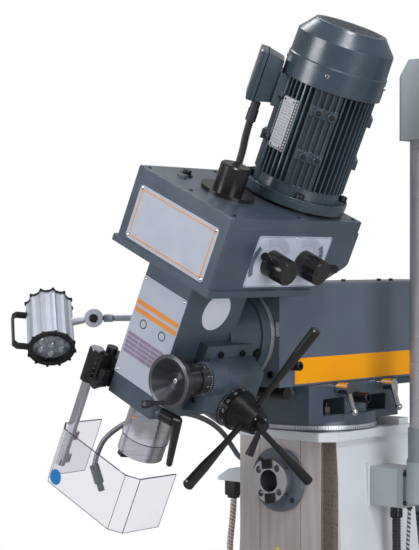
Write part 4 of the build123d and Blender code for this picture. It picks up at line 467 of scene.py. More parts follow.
# %% Assign to the nodes
SLOT_FINISH = {"enamel": slate_enamel, "column_paint": pale_enamel, "die_cast": die_cast_paint,
               "ground_iron": ground_iron, "bright_steel": turned_steel, "chromed": chrome,
               "blackened_metal": blackened, "black_plastic": black_phenolic, "black_rubber": black_rubber,
               "grey_hose": grey_hose, "brass": brass, "clear_screen": polycarbonate, "lamp_metal": anodised,
               "lamp_glass": lens_glass, "panel_plastic": panel_plastic}
OWN_FINISH = {"ram": ram_enamel, "column": column_enamel, "bearing_cap": cap_paint, "lamp_arm": knuckle_paint,
              "quill": quill_steel, "spindle": nose_steel, "guard_rod": quill_steel,
              "fine_feed_wheel": wheel_black, "horizontal_keys": blackened, "spindle_keys": blackened,
              "tilt_worm": blackened, "turret_bolts": blackened, "ram_pinion": blackened,
              "post_bracket": bracket_paint, "motor_frame": motor_enamel, "fan_cover": motor_enamel,
              "readout_post": post_tube}
for part in frame["record"]["subparts"]:
    finish = OWN_FINISH.get(part["node"]) or SLOT_FINISH[part["material_slot"]]
    mesh = nodes[part["node"]].data
    mesh.materials.clear()
    mesh.materials.append(finish)

# %% [markdown]
# ## Modelling helpers
# New pieces are drawn in millimetres with ordinary operators and settled at the end: the place goes into
# the mesh, the piece rides on its body and takes its finish.

# %% Selecting
FRONT, RIGHT, UP = (0, -1, 0), (1, 0, 0), (0, 0, 1)


def start():
    """Object mode with nothing selected."""
    if bpy.context.object and bpy.context.object.mode != "OBJECT":
        bpy.ops.object.mode_set(mode="OBJECT")
    bpy.ops.object.select_all(action="DESELECT")


def edit(piece):
    start()
    piece.select_set(True)
    bpy.context.view_layer.objects.active = piece
    bpy.ops.object.mode_set(mode="EDIT")


def clear_choice(piece, kind):
    """Leaves a piece with nothing selected in it, ready to select faces or edges."""
    edit(piece)
    bpy.ops.mesh.select_mode(type=kind)
    bpy.ops.mesh.select_all(action="DESELECT")
    bpy.ops.object.mode_set(mode="OBJECT")


def choose_faces(piece, test):
    """Selects the faces whose centre and normal pass a test."""
    clear_choice(piece, "FACE")
    for face in piece.data.polygons:
        face.select = test(face.center, face.normal)
    bpy.ops.object.mode_set(mode="EDIT")


def choose_edges(piece, test):
    """Selects the edges whose two ends pass a test."""
    clear_choice(piece, "EDGE")
    points = piece.data.vertices
    for edge in piece.data.edges:
        edge.select = test(points[edge.vertices[0]].co, points[edge.vertices[1]].co)
    bpy.ops.object.mode_set(mode="EDIT")


print("selecting ready")

# %% [markdown]
# ## Shaping
# Real edges are never sharp: castings have radii and turned parts a broken rim. So nearly every piece is
# bevelled, or has its faces inset and drawn on in steps, with the operators that are used by hand as well.

# %% Shaping
def bevel(piece, test, offset, segments):
    """Rounds the edges whose two ends pass a test."""
    choose_edges(piece, test)
    bpy.ops.mesh.bevel(offset=offset, segments=segments, affect="EDGES")
    start()


def soften(piece, offset, segments=1):
    """Breaks every edge of a piece."""
    edit(piece)
    bpy.ops.mesh.select_mode(type="EDGE")
    bpy.ops.mesh.select_all(action="SELECT")
    bpy.ops.mesh.bevel(offset=offset, segments=segments, affect="EDGES")
    start()


def draw_on(piece, inset, move, test):
    """Insets the faces that pass a test, outwards where negative, and draws them on."""
    choose_faces(piece, test)
    if inset:
        bpy.ops.mesh.inset(thickness=abs(inset), use_outset=inset < 0)
    bpy.ops.mesh.extrude_region_move(TRANSFORM_OT_translate={"value": move})
    start()


def thicken(piece, thickness, offset):
    """Gives a sheet a wall."""
    wall = piece.modifiers.new("wall", "SOLIDIFY")
    wall.thickness, wall.offset = thickness, offset
    bpy.context.view_layer.objects.active = piece
    bpy.ops.object.modifier_apply(modifier=wall.name)


def joined(pieces):
    """Joins pieces into the first of them."""
    start()
    for piece in pieces:
        piece.select_set(True)
    bpy.context.view_layer.objects.active = pieces[0]
    if len(pieces) > 1:
        bpy.ops.object.join()
    return pieces[0]


print("shaping ready")

# %% [markdown]
# ## Stock
# Most pieces start as plain stock: a block, a stepped rod or a turned band. Each is a primitive with its
# place put into its mesh, so that every later step can use real millimetres.

# %% Stock
def bake_place(piece, frame_matrix=Matrix.Identity(4)):
    """Puts a piece's place into its mesh and leaves its object at the origin."""
    start()
    bpy.context.view_layer.update()
    piece.data.transform(frame_matrix @ piece.matrix_world)
    piece.matrix_world = Matrix.Identity(4)
    bpy.context.view_layer.update()


def cube(x0, x1, y0, y1, z0, z1):
    """A cube between two corners, as a new object or within the piece being edited."""
    bpy.ops.mesh.primitive_cube_add(size=1, location=((x0 + x1) / 2, (y0 + y1) / 2, (z0 + z1) / 2),
                                    scale=(x1 - x0, y1 - y0, z1 - z0))


def block(*spans):
    """A new piece between two corners."""
    start()
    cube(*spans)
    piece = bpy.context.object
    bake_place(piece)
    return piece


def cylinder(sides, radius, low, high, ends="NGON"):
    """A new piece: a cylinder along Z between two heights."""
    start()
    bpy.ops.mesh.primitive_cylinder_add(vertices=sides, radius=radius, depth=high - low, end_fill_type=ends,
                                        location=(0, 0, (low + high) / 2))
    piece = bpy.context.object
    bake_place(piece)
    return piece


def stepped_rod(radius, depth, steps, sides=24):
    """A cylinder along Z from 0, then drawn on through (inset, rise) steps."""
    piece = cylinder(sides, radius, 0, depth)
    top = depth
    for inset, rise in steps:
        draw_on(piece, inset, (0, 0, rise), lambda c, n, level=top: n.z > 0.9 and abs(c.z - level) < 0.01)
        top += rise
    return piece


def band(radius, low, high, sides=144, wall=0.6):
    """A turned band round the Z axis."""
    piece = cylinder(sides, radius, low, high, "NOTHING")
    thicken(piece, wall, -1)
    return piece


print("stock ready")

# %% [markdown]
# ## Settling
# Settling turns a drawn piece into its frame and gives it its name and finish, and the body it rides on, so
# that it moves with that body's joint. Finishes that many pieces share have a name here.

# %% Settling
def facing(out):
    """Turns what is drawn along Z to a direction."""
    return Vector(out).to_track_quat("Z", "Y").to_matrix().to_4x4()


def point_along(piece, place, out):
    """Turns a piece drawn along Z to a direction and moves it to its place."""
    bake_place(piece, Matrix.Translation(place) @ facing(out))
    return piece


def grid(xs, ys, zs, out):
    """A place at every crossing of three lists, all facing one way."""
    return [((x, y, z), out) for x in xs for y in ys for z in zs]


def settle(piece, name, body, slot, finish, frame_matrix=MACHINE, smooth=35):
    """Names a drawn piece, puts it in place, and lets it ride."""
    bake_place(piece, frame_matrix)
    piece.name = piece.data.name = name
    piece.data.materials.clear()
    piece.data.materials.append(finish)
    piece.select_set(True)
    bpy.context.view_layer.objects.active = piece
    bpy.ops.object.shade_smooth_by_angle(angle=math.radians(smooth))
    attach(piece, body)
    return piece


def turned(name, rod, place, out, *finish):
    """A stepped rod, given as (radius, depth, steps, sides), pointed along a direction and settled."""
    return settle(point_along(stepped_rod(*rod), place, out), name, *finish)


DARK_SCREWS = ("head", "blackened_metal", blackened, HEAD)
BRIGHT_SCREWS = ("head", "bright_steel", turned_steel, HEAD)
BRIGHT_RIVETS = ("head", "bright_steel", chrome, HEAD)
HEAD_BLACK = ("head", "black_plastic", black_phenolic, HEAD)
MOTOR_PAINT = ("head", "enamel", motor_enamel, HEAD)
print("settling ready")

# %% [markdown]
# ## Socket screw
# Screws repeat all over the machine, so one is modelled and copied. It is a turned head with a hexagon cut
# by a boolean and a broken rim.

# %% Socket screw
def socket_screw():
    head, key = cylinder(24, 5, 0, 6), cylinder(6, 2.9, 3, 9)
    cut = head.modifiers.new("socket", "BOOLEAN")
    cut.operation, cut.object, cut.solver = "DIFFERENCE", key, "EXACT"
    start()
    bpy.context.view_layer.objects.active = head
    bpy.ops.object.modifier_apply(modifier=cut.name)
    bpy.data.objects.remove(key)
    bevel(head, lambda a, b: min(a.z, b.z) > 5.9 and min(a.xy.length, b.xy.length) > 4.9, 0.5, 2)
    return head


SCREW = socket_screw()
print("socket screw", len(SCREW.data.vertices))

# %% [markdown]
# ## Nut and rivet
# A hexagon nut shows the end of its stud, so it is a six-sided rod with one step. A rivet's head is a
# flattened sphere, cut in half. They stand in groups, so each group is joined into one piece.

# %% Hexagon nut and rivet
def hexagon_nut():
    nut = stepped_rod(5.5, 5, ((1.6, 2.2),), 6)
    soften(nut, 0.3)
    return nut


def rivet_head():
    start()
    bpy.ops.mesh.primitive_uv_sphere_add(segments=16, ring_count=8, radius=1)
    rivet = bpy.context.object
    bake_place(rivet, Matrix.Diagonal((1, 1, 0.55, 1)))
    edit(rivet)
    bpy.ops.mesh.select_all(action="SELECT")
    bpy.ops.mesh.bisect(plane_co=(0, 0, 0), plane_no=UP, clear_inner=True, use_fill=True)
    start()
    return rivet


NUT, RIVET = hexagon_nut(), rivet_head()


def copies(pattern, name, places, size, *finish):
    """Copies a pattern to each (point, outward direction) and joins the copies into one piece."""
    made = []
    for point, out in places:
        copy = pattern.copy()
        copy.data = pattern.data.copy()
        bpy.context.scene.collection.objects.link(copy)
        copy.data.transform(Matrix.Translation(point) @ facing(out) @ Matrix.Scale(size, 4))
        made.append(copy)
    return settle(joined(made), name, *finish)


print("nut and rivet", len(NUT.data.vertices), len(RIVET.data.vertices))

# %% [markdown]
# ## Hoses and cables
# Each follows the route of its CAD solid. A NURBS spline with the route's points as its control points
# gives the line that a flexible hose really takes.

# %% Route
def route_line(route, frame_matrix):
    """Points along the smooth spline whose control points are the route."""
    curve = bpy.data.curves.new("route", "CURVE")
    curve.dimensions, curve.resolution_u = "3D", 32
    spline = curve.splines.new("NURBS")
    spline.points.add(len(route) - 1)
    for point, place in zip(spline.points, route):
        point.co = (*(frame_matrix @ Vector(place)), 1)
    spline.order_u = 3
    spline.use_endpoint_u = True
    holder = bpy.data.objects.new("route", curve)
    bpy.context.scene.collection.objects.link(holder)
    bpy.context.view_layer.update()
    mesh = bpy.data.meshes.new_from_object(holder)
    points = [vertex.co.copy() for vertex in mesh.vertices]
    bpy.data.objects.remove(holder)
    bpy.data.curves.remove(curve)
    bpy.data.meshes.remove(mesh)
    return points


def along(points, step):
    """Places and directions at even steps along a line of points."""
    found, carried = [(points[0], (points[1] - points[0]).normalized())], 0.0
    for first, second in zip(points, points[1:]):
        run = second - first
        while carried + run.length >= step:
            first = first + run.normalized() * (step - carried)
            run = second - first
            carried = 0.0
            found.append((first, (second - first).normalized() if run.length > 1e-7 else found[-1][1]))
        carried += run.length
    found.append((points[-1], (points[-1] - points[-2]).normalized()))
    return found


def line_length(points):
    return sum((b - a).length for a, b in zip(points, points[1:]))


print("routes ready")

# %% [markdown]
# ## The tube
# A ring of points is carried along the line, and its radius says what kind of hose it is: ribs for a
# conduit, a screw thread for a wrapped cable. A relief in the finish would be lighter, but ribs show at a
# hose's outline, so they are modelled.

# %% Ribbed tube
def hose(name, points, step_mm, radius_mm):
    """A closed tube whose radius is a function of the distance along it and the angle round it."""
    rings, side, sides = [], None, 18
    places = along(points, step_mm * MM)
    for index, (place, ahead) in enumerate(places):
        side = ahead.orthogonal() if side is None else side - ahead * side.dot(ahead)
        side.normalize()
        across = ahead.cross(side)
        ring = []
        for spot in range(sides):
            angle = 2 * math.pi * spot / sides
            reach = radius_mm(index * step_mm, angle) * MM
            ring.append(place + side * (reach * math.cos(angle)) + across * (reach * math.sin(angle)))
        rings.append(ring)
    corners = [corner for ring in rings for corner in ring]
    faces = [tuple(reversed(range(sides))), tuple(range(len(corners) - sides, len(corners)))]
    for ring in range(len(rings) - 1):
        for spot in range(sides):
            a, b = ring * sides + spot, ring * sides + (spot + 1) % sides
            faces.append((a, b, b + sides, a + sides))
    mesh = bpy.data.meshes.new(name)
    mesh.from_pydata(corners, [], faces)
    piece = bpy.data.objects.new(name, mesh)
    bpy.context.scene.collection.objects.link(piece)
    return piece


def ribbed(crest, root, pitch):
    """Radius of a corrugated hose: flat crests and narrower valleys."""
    return lambda run, angle: crest if (run / pitch) % 1.0 < 0.55 else root


def wrapped(radius, groove, pitch):
    """Radius of a cable in a spiral wrap."""
    return lambda run, angle: radius - (groove if (run / pitch + angle / (2 * math.pi)) % 1.0 < 0.25 else 0.0)


print("tubes ready")

# %% [markdown]
# ## The five lines
# A metal coolant hose, a ribbed conduit and a thin cable under the bracket, a hose at the column's left
# edge and the motor's own conduit. Each stands for its CAD node and rides on that node's body. They differ
# only in numbers, so one table and one loop make them all.

# %% The five lines
COOLANT_ROUTE = ((-192, 110, 1326), (-192, 110, 1274), (-190, 70, 1228), (-184, 14, 1202),
                 (-172, -36, 1208), (-164, -72, 1239), (-160, -109, 1275), (-158, -158, 1302),
                 (-156, -214, 1319), (-158, -268, 1327), (-175, -322, 1323), (-211, -362, 1302),
                 (-247, -387, 1261), (-250, -391, 1213))
FOOT_ROUTE = ((170, 49, 1112), (170, 49, 1058), (172, 49, 998), (178, 49, 939), (185, 49, 880),
              (186, 49, 821), (178, 49, 766), (149, 49, 720))
CABLE_ROUTE = ((193, 62, 1129), (190, 63, 1085), (186, 65, 1040), (190, 66, 990), (198, 67, 935),
               (203, 66, 880), (204, 66, 825), (199, 66, 770), (180, 66, 722), (150, 66, 688))
SIDE_ROUTE = ((-166, -64, 1136), (-168, -64, 1100), (-175, -62, 1062), (-183, -58, 1024),
              (-186, -52, 986), (-181, -46, 948), (-163, -41, 914), (-139, -37, 884))
MOTOR_X, MOTOR_Y = 15, -243.66
TERMINAL_TURN, CONDUIT_REACH = math.radians(-48), -122


def motor_point(reach, z):
    return (MOTOR_X - reach * math.sin(TERMINAL_TURN), MOTOR_Y + reach * math.cos(TERMINAL_TURN), z)


CONDUIT_ROUTE = (motor_point(CONDUIT_REACH, 429), motor_point(CONDUIT_REACH, 385),
                 motor_point(CONDUIT_REACH + 6, 345), motor_point(CONDUIT_REACH + 6, 291))
LINES = {
    "coolant_line": ("coolant_hose", "turret", COOLANT_ROUTE, MACHINE, 0.7, ribbed(5.5, 5.0, 4.2), 11,
                     hose_metal, "grey_hose", "fitting", "stiff", "hanging"),
    "foot_conduit_line": ("foot_conduit", "column", FOOT_ROUTE, MACHINE, 0.97, ribbed(9, 7.4, 5.8), 18,
                          black_rubber, "black_rubber", "object", "medium", "hanging"),
    "foot_cable_line": ("foot_cable", "column", CABLE_ROUTE, MACHINE, 1.0, wrapped(3.8, 0.5, 9), 7.6,
                        wrapped_cable, "grey_hose", "object", "medium", "hanging"),
    "side_hose_line": ("side_hose", "column", SIDE_ROUTE, MACHINE, 0.83, ribbed(7, 5.8, 5), 14,
                       pale_hose, "grey_hose", "object", "medium", "hanging"),
    "motor_conduit_line": ("motor_conduit", "head", CONDUIT_ROUTE, HEAD, 0.73, ribbed(7.5, 6.2, 4.4), 15,
                           black_rubber, "black_rubber", "object", "stiff", "taut"),
}
for name, (node, body, route, place, step, radius, wide, finish, slot, far_end, stiff, lay) in LINES.items():
    points = route_line(route, place)
    piece = settle(hose(name, points, step, radius), name, body, slot, finish, Matrix.Identity(4), 50)
    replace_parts(piece, node)
    print(name, "length", round(line_length(points), 4), "triangles", 2 * len(piece.data.polygons))

# %% [markdown]
# ## What the hoses end in
# The coolant line ends in a turned nozzle, the foot conduit in a slotted gland, the side hose in a moulded
# plug, and the cable and the motor's conduit in plain glands. All start as a cylinder or cube and are
# stepped by insets and extrusions.

# %% Hose ends
def coolant_nozzle():
    piece = stepped_rod(9.5, 14, ((-1.5, 24), (3.0, 16)))
    soften(piece, 0.6)
    return point_along(piece, (-250, -391, 1224), (0.22, 0.2, -1))


def slotted_gland():
    """A gland whose skirt has six slots: four of every six faces round it are sunk."""
    piece = stepped_rod(12.6, 13, ((-0.9, 4), (0.9, 8)), 36)

    def in_a_slot(centre, normal):
        face = int((math.atan2(centre.y, centre.x) / math.pi + 1) * 18)
        return abs(normal.z) < 0.2 and centre.z < 12 and face % 6 < 4

    choose_faces(piece, in_a_slot)
    bpy.ops.mesh.inset(thickness=1.6, depth=-2.4)
    start()
    return point_along(piece, FOOT_ROUTE[0], UP)


def moulded_plug():
    piece = block(-181, -153, -77, -51, 1136, 1167)
    draw_on(piece, 4, (0, 0, -6), lambda c, n: n.z < -0.9)
    soften(piece, 1.6, 2)
    return piece


nozzle = settle(coolant_nozzle(), "coolant_nozzle", "turret", "black_plastic", nozzle_grey)
gland = settle(slotted_gland(), "foot_gland", "column", "black_rubber", black_phenolic)
plug = settle(moulded_plug(), "side_plug", "column", "black_rubber", black_rubber)
cable_gland = turned("cable_gland", (6, 4, ((1.4, 4),)), CABLE_ROUTE[0], UP, "column", "black_rubber",
                     black_rubber)
motor_gland = turned("motor_gland", (10, 6, ((-3.4, 17), (1.2, 3), (-1.2, 12))),
                     motor_point(CONDUIT_REACH, 409), UP, "head", "black_rubber", black_rubber, HEAD)
for piece, node in ((nozzle, "coolant_hose"), (gland, "foot_conduit"), (plug, "side_hose"),
                    (cable_gland, "foot_cable"), (motor_gland, "motor_conduit")):
    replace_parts(piece, node)
print("hose ends", nozzle.name, gland.name, plug.name)

# %% [markdown]

# %% [markdown]
# ## Plates
# Thin aluminium plates are sheared, their corners nipped round, and riveted or stuck on. Each is a cube of
# the plate's size whose four corner edges are bevelled.

# %% Plate helper
def plate(name, spans, corner, *finish):
    """A thin plate between two corners (x0, x1, y0, y1, z0, z1) with rounded corners."""
    piece = block(*spans)
    size = [spans[1] - spans[0], spans[3] - spans[2], spans[5] - spans[4]]
    thin = size.index(min(size))
    bevel(piece, lambda a, b: abs(a[thin] - b[thin]) > size[thin] / 2, corner, 4)
    return settle(piece, name, *finish)


def blocks(bars, edge, segments=1):
    """Several blocks in one piece, with their edges broken."""
    piece = block(*bars[0])
    edit(piece)
    for bar in bars[1:]:
        cube(*bar)
    soften(piece, edge, segments)
    return piece


def prints(name, bars, *finish):
    """A group of thin printed bars."""
    return settle(blocks(bars, 0.03), name, *finish)


def printed(finish):
    """A plate or print on the head, in one colour."""
    return "head", "lamp_metal", finish, HEAD


print("plates ready")

# %% [markdown]
# ## The gearbox's front plate
# A large white plate with an orange border and a rivet in each corner. The border is four printed bars,
# thick enough to show from the side.

# %% Gearbox front plate
BOX_FACE, INK = -527, 0.3
INK_FRONT = (BOX_FACE - 1 - INK, BOX_FACE - 1)
front_plate = plate("gearbox_front_plate", (-103, 103, BOX_FACE - 1, BOX_FACE, 159, 262), 6,
                    *printed(plate_white))
prints("gearbox_plate_border", [(-96, 96, *INK_FRONT, 253.7, 255.7), (-96, 96, *INK_FRONT, 165.3, 167.3),
                                (-96, -94, *INK_FRONT, 165.3, 255.7), (94, 96, *INK_FRONT, 165.3, 255.7)],
       *printed(print_orange))
copies(RIVET, "gearbox_plate_rivets", grid((-98, 98), (BOX_FACE - 1,), (164, 257), FRONT), 3.2,
       *BRIGHT_RIVETS)
print("front plate", [round(v, 4) for v in front_plate.dimensions])

# %% [markdown]
# ## The plate on the head casting
# Two orange bands, two outlined circles and a table of empty fields, screen-printed in one pass each. Every
# printed shape is a thin block with broken edges, so that it also shows from the side.

# %% Head plate
CAST_FACE = -492
INK_HEAD = (CAST_FACE - 1 - INK, CAST_FACE - 1)
plate("head_plate", (-58, 58, CAST_FACE - 1, CAST_FACE, -95, 102), 4, *printed(plate_white))
prints("head_plate_bands", [(-56, 56, *INK_HEAD, 46, 55), (-56, 56, *INK_HEAD, 31, 40)],
       *printed(print_orange))
FIELD_X, FIELD_Z, FIELD_COLUMNS, FIELD_ROWS = (-54, 44), (-51, -9), 3, 5
field_wide = (FIELD_X[1] - FIELD_X[0]) / FIELD_COLUMNS
field_tall = (FIELD_Z[1] - FIELD_Z[0]) / FIELD_ROWS
fields = []
for across in range(FIELD_COLUMNS):
    for up in range(FIELD_ROWS):
        x, z = FIELD_X[0] + across * field_wide, FIELD_Z[0] + up * field_tall
        fields.append((x + 0.6, x + field_wide - 0.6, *INK_HEAD, z + 0.8, z + field_tall - 0.8))
prints("head_plate_fields", fields, *printed(print_violet))


def outline_ring(name, centre, radius, out, *finish):
    """A printed or engraved circle: a slim torus pressed flat."""
    start()
    bpy.ops.mesh.primitive_torus_add(major_radius=radius, minor_radius=1.1, major_segments=48,
                                     minor_segments=8)
    piece = bpy.context.object
    bake_place(piece, Matrix.Diagonal((1, 1, 0.4, 1)))
    return settle(point_along(piece, centre, out), name, *finish)


for side, x in (("left", -25), ("right", 26)):
    outline_ring("head_plate_circle_" + side, (x, CAST_FACE - 1, 16), 8, FRONT, *printed(print_dark))
copies(RIVET, "head_plate_rivets", grid((-52, 52), (CAST_FACE - 1,), (-89, 96), FRONT), 3.0, *BRIGHT_RIVETS)
print("fields on the head plate", len(fields))

# %% [markdown]
# ## The plate behind the speed knobs
# It is stuck on and less than a quarter of a millimetre thick, so that the knobs still turn over it. Its
# arcs are printed round each knob's axis: a short line is spun through the arc's angle and given a
# thickness.

# %% Knob plate
BOX_SIDE, KNOB_Y, KNOB_Z = 125, (-388, -295), 208
KNOB_INK, ARC_FACE, ARC_THICK = (BOX_SIDE + 0.2, BOX_SIDE + 0.26), BOX_SIDE + 0.21, 0.08
plate("knob_plate", (BOX_SIDE, BOX_SIDE + 0.22, -442, -230, 160, 260), 5, *printed(knob_plate_grey))


def on_box_side(x, y):
    """Turns a piece drawn along Z to a knob's axis on the gearbox's right side."""
    return Matrix(((0, 0, 1, x), (0, 1, 0, y), (-1, 0, 0, KNOB_Z), (0, 0, 0, 1)))


def sector(name, centre_y, inner, outer, first, last, finish):
    """A printed arc of a ring round a knob's axis, between two angles from the rear."""
    start()
    bpy.ops.mesh.primitive_plane_add(size=1)
    piece = bpy.context.object
    bake_place(piece, Matrix.Translation((0, (inner + outer) / 2, 0))
               @ Matrix.Diagonal((0, outer - inner, 1, 1)))
    edit(piece)
    bpy.ops.mesh.select_all(action="SELECT")
    bpy.ops.mesh.remove_doubles(threshold=0.001)
    bpy.ops.mesh.spin(steps=18, angle=math.radians(first - last), center=(0, 0, 0), axis=UP)
    bpy.ops.mesh.select_all(action="SELECT")
    bpy.ops.mesh.remove_doubles(threshold=0.001)
    bpy.ops.mesh.normals_make_consistent(inside=False)
    start()
    bake_place(piece, on_box_side(ARC_FACE, centre_y) @ Matrix.Rotation(math.radians(first), 4, "Z"))
    thicken(piece, ARC_THICK, 0)
    return settle(piece, name, *printed(finish))


prints("knob_plate_border", [(*KNOB_INK, -440, -232, z, z + 0.9) for z in (161.5, 257.6)]
       + [(*KNOB_INK, y, y + 0.9, 161.5, 258.5) for y in (-440.5, -232.4)], *printed(print_slate))
sector("knob_plate_shade_front", KNOB_Y[0], 32, 50, 20, 120, print_pale)
sector("knob_plate_shade_rear", KNOB_Y[1], 32, 50, 20, 120, print_pale)
sector("knob_plate_arc_front", KNOB_Y[0], 44, 55, 143, 212, print_slate)
sector("knob_plate_arc_rear", KNOB_Y[1], 44, 55, -14, 40, print_slate)
copies(RIVET, "knob_plate_rivets", grid(KNOB_INK[:1], (-438, -336, -234), (164, 256), RIGHT), 1.5,
       *BRIGHT_SCREWS)
print("knob plate printed")

# %% [markdown]
# ## Speed knobs
# Two moulded knobs choose the speed, each with a pointer that swells to its end and a screw in its face.
# Body and pointer are stepped rods with some rings scaled, because a moulding tapers.

# %% Speed knobs
KNOB_SEAT, SHOULDER, CROWN = BOX_SIDE + 0.3, 45.7, 48.7
POINTER_ROOT, POINTER_LENGTH, POINTER_RISE, POINTER_LEVEL = 20, 37.6, 0.12, 15


def speed_knob(degrees, reach):
    """A moulded knob along Z with a waisted pointer: a turned body and a lever that swells to its end."""
    body = stepped_rod(25, 9, ((-2, 36.7), (0, 3)), 48)
    choose_edges(body, lambda a, b: abs(a.z - SHOULDER) < 0.01 and abs(b.z - SHOULDER) < 0.01)
    bpy.ops.transform.resize(value=(0.95, 0.95, 1), center_override=(0, 0, SHOULDER))
    choose_faces(body, lambda c, n: c.z > CROWN - 0.1)
    bpy.ops.transform.resize(value=(0.9, 0.9, 1), center_override=(0, 0, CROWN))
    bevel(body, lambda a, b: abs(a.z - 9) < 0.01 and abs(b.z - 9) < 0.01 and a.xy.length > 26, 0.8, 2)
    lever = stepped_rod(5, 12, ((0, 14), (0, 10), (1.6, 1.6)))
    choose_edges(lever, lambda a, b: min(a.z, b.z) > 25.9)
    bpy.ops.transform.resize(value=(1.6, 1.6, 1), center_override=(0, 0, 26))
    start()
    stretch = Matrix.Diagonal((1, 1, (reach - POINTER_ROOT) / POINTER_LENGTH, 1))
    angle, flat = math.radians(degrees), math.cos(POINTER_RISE)
    out = Vector((-math.sin(angle) * flat, -math.cos(angle) * flat, math.sin(POINTER_RISE)))
    root = Vector((0, 0, POINTER_LEVEL)) + out * POINTER_ROOT
    bake_place(lever, Matrix.Translation(root) @ facing(out) @ stretch)
    return joined([body, lever])


for y, node, degrees, reach in ((KNOB_Y[0], "speed_knob_front", 24, 56),
                                (KNOB_Y[1], "speed_knob_rear", 182, 76)):
    knob = speed_knob(degrees, reach)
    bake_place(knob, on_box_side(KNOB_SEAT, y))
    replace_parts(settle(knob, node + "_knob", node, "black_plastic", black_phenolic, HEAD), node)
    turn = math.radians(degrees)
    hole = (KNOB_SEAT + 45.6, y + 15 * math.cos(turn), KNOB_Z - 15 * math.sin(turn))
    copies(SCREW, node + "_screw", [(hole, RIGHT)], 0.6, node, "blackened_metal", blackened, HEAD)
    print(node, "at", degrees, "degrees")

# %% [markdown]
# ## Round label and the motor's rating plate
# A round label sits on the casting, and the motor's rating plate on a cast pad. The rating plate has a dark
# edge with pale ticks, and rows of grey bars for its print. The label is a thin disc with a raised middle,
# the rest are thin blocks laid one on the other.

# %% Round label and motor plate
CAST_SIDE, PAD_FACE, RATING_FACE = 61, -332, -333
turned("round_label", (36, 0.4, ((2.4, 0.25),), 64), (CAST_SIDE, -408, 79), RIGHT, *printed(label_white))


def nameplate_pad():
    piece = block(-11, 29, PAD_FACE, PAD_FACE + 14, 384, 485)
    bevel(piece, lambda a, b: abs(a.y - b.y) > 5, 4, 3)
    return piece


settle(nameplate_pad(), "motor_plate_pad", *MOTOR_PAINT)
plate("motor_plate", (-10, 28, RATING_FACE, PAD_FACE, 386, 483), 3, *printed(rating_grey))
EDGE_INK, ROW_INK = (RATING_FACE - 0.3, RATING_FACE), (RATING_FACE - 0.25, RATING_FACE)
prints("motor_plate_border", [(19, 27.4, *EDGE_INK, 387, 482), (-8, 19, *EDGE_INK, 387, 388.6)],
       *printed(print_dark))
ROW_COUNT, ROW_STEP, BAR_STEP = 15, 5.4, 8.4
plate_rows = []
for across in range(3):
    for up in range(ROW_COUNT):
        x, wide = -7 + BAR_STEP * across, 6.6 if (across + up) % 3 else 4
        plate_rows.append((x, x + wide, *ROW_INK, 396 + up * ROW_STEP, 398.2 + up * ROW_STEP))
prints("motor_plate_rows", plate_rows, *printed(print_grey))
prints("motor_plate_edge_marks", [(22, 24.6, EDGE_INK[0] - 0.2, EDGE_INK[0], 391 + i * 6, 394 + i * 6)
                                  for i in range(ROW_COUNT)], *printed(print_pale))
copies(RIVET, "motor_plate_rivets", grid((-6, 15), (RATING_FACE,), (391, 478), FRONT), 1.9, "head",
       "bright_steel", blackened, HEAD)
print("rows on the motor plate", len(plate_rows))

# %% [markdown]
# ## Screws on the head
# Cap screws hold the gearbox cover and the motor's flange, hexagon nuts the swivel. Screws that are sunk in
# the real casting are set deeper, so only a rim shows.

# %% Head screws
COVER_TOP, FLANGE_TOP, FLANGE_REACH, NUT_REACH = 291, 311, 65, 88
cover_places = [(-6, -506), (111, -512), (111, -333), (-111, -333), (111, -168), (-111, -512), (-111, -168)]
copies(SCREW, "cover_screws", [((x, y, COVER_TOP - 4.2), UP) for x, y in cover_places], 0.9, *DARK_SCREWS)
copies(SCREW, "flange_screws",
       grid((MOTOR_X - FLANGE_REACH, MOTOR_X + FLANGE_REACH),
            (MOTOR_Y - FLANGE_REACH, MOTOR_Y + FLANGE_REACH), (FLANGE_TOP + 4,), UP), 1.7, *DARK_SCREWS)
copies(SCREW, "clamp_bar_screws", grid((80.5,), (-383, -322), (2.4,), RIGHT), 1.25, *DARK_SCREWS)
copies(NUT, "swivel_nuts", [((NUT_REACH * math.cos(a), -280, NUT_REACH * math.sin(a)), FRONT)
                            for a in map(math.radians, (2, 122, 242))], 1.7, *DARK_SCREWS)
copies(SCREW, "feed_screws", [((80.7, -409, -92), FRONT)], 1.0, *DARK_SCREWS)
print("cover screws", len(cover_places))

# %% [markdown]
# ## The lug behind the guard's thumb screw
# The thumb screw turns in a flat lug on the bracket's arm, moulded in one with it. It is a cube with its
# four edges broken, set between the arm and the screw, so that the screw is carried.

# %% Thumb screw lug
lug = plate("guard_thumb_lug", (-78, -61.5, -512, -496, -133, -98), 2, *HEAD_BLACK)
print("thumb screw lug", [round(v, 4) for v in lug.dimensions])

# %% [markdown]
# ## Level plug and terminal box
# The gearbox has a moulded plug in its cover, with a hexagon to turn it. The motor's connection box is a
# casting: a narrow neck, a chamfered body and a lid with a lip. It is one block whose outer face is drawn
# on step by step, so that neck, body and lid stay one solid.

# %% Level plug and terminal box
def level_plug():
    piece = stepped_rod(13, 3, ((2.5, 0.4),), 32)
    edit(piece)
    bpy.ops.mesh.primitive_cylinder_add(vertices=6, radius=8.5, depth=9, location=(0, 0, 6))
    start()
    soften(piece, 0.4)
    return point_along(piece, (-83, -442, COVER_TOP), UP)


BOX_BACK, NECK_SCALE = (98, 0, 499), (1, 0.72, 0.86)
LID_STEPS = ((0, 1.5), (-6, 5), (1.2, 1.2), (-1.2, 5.5))


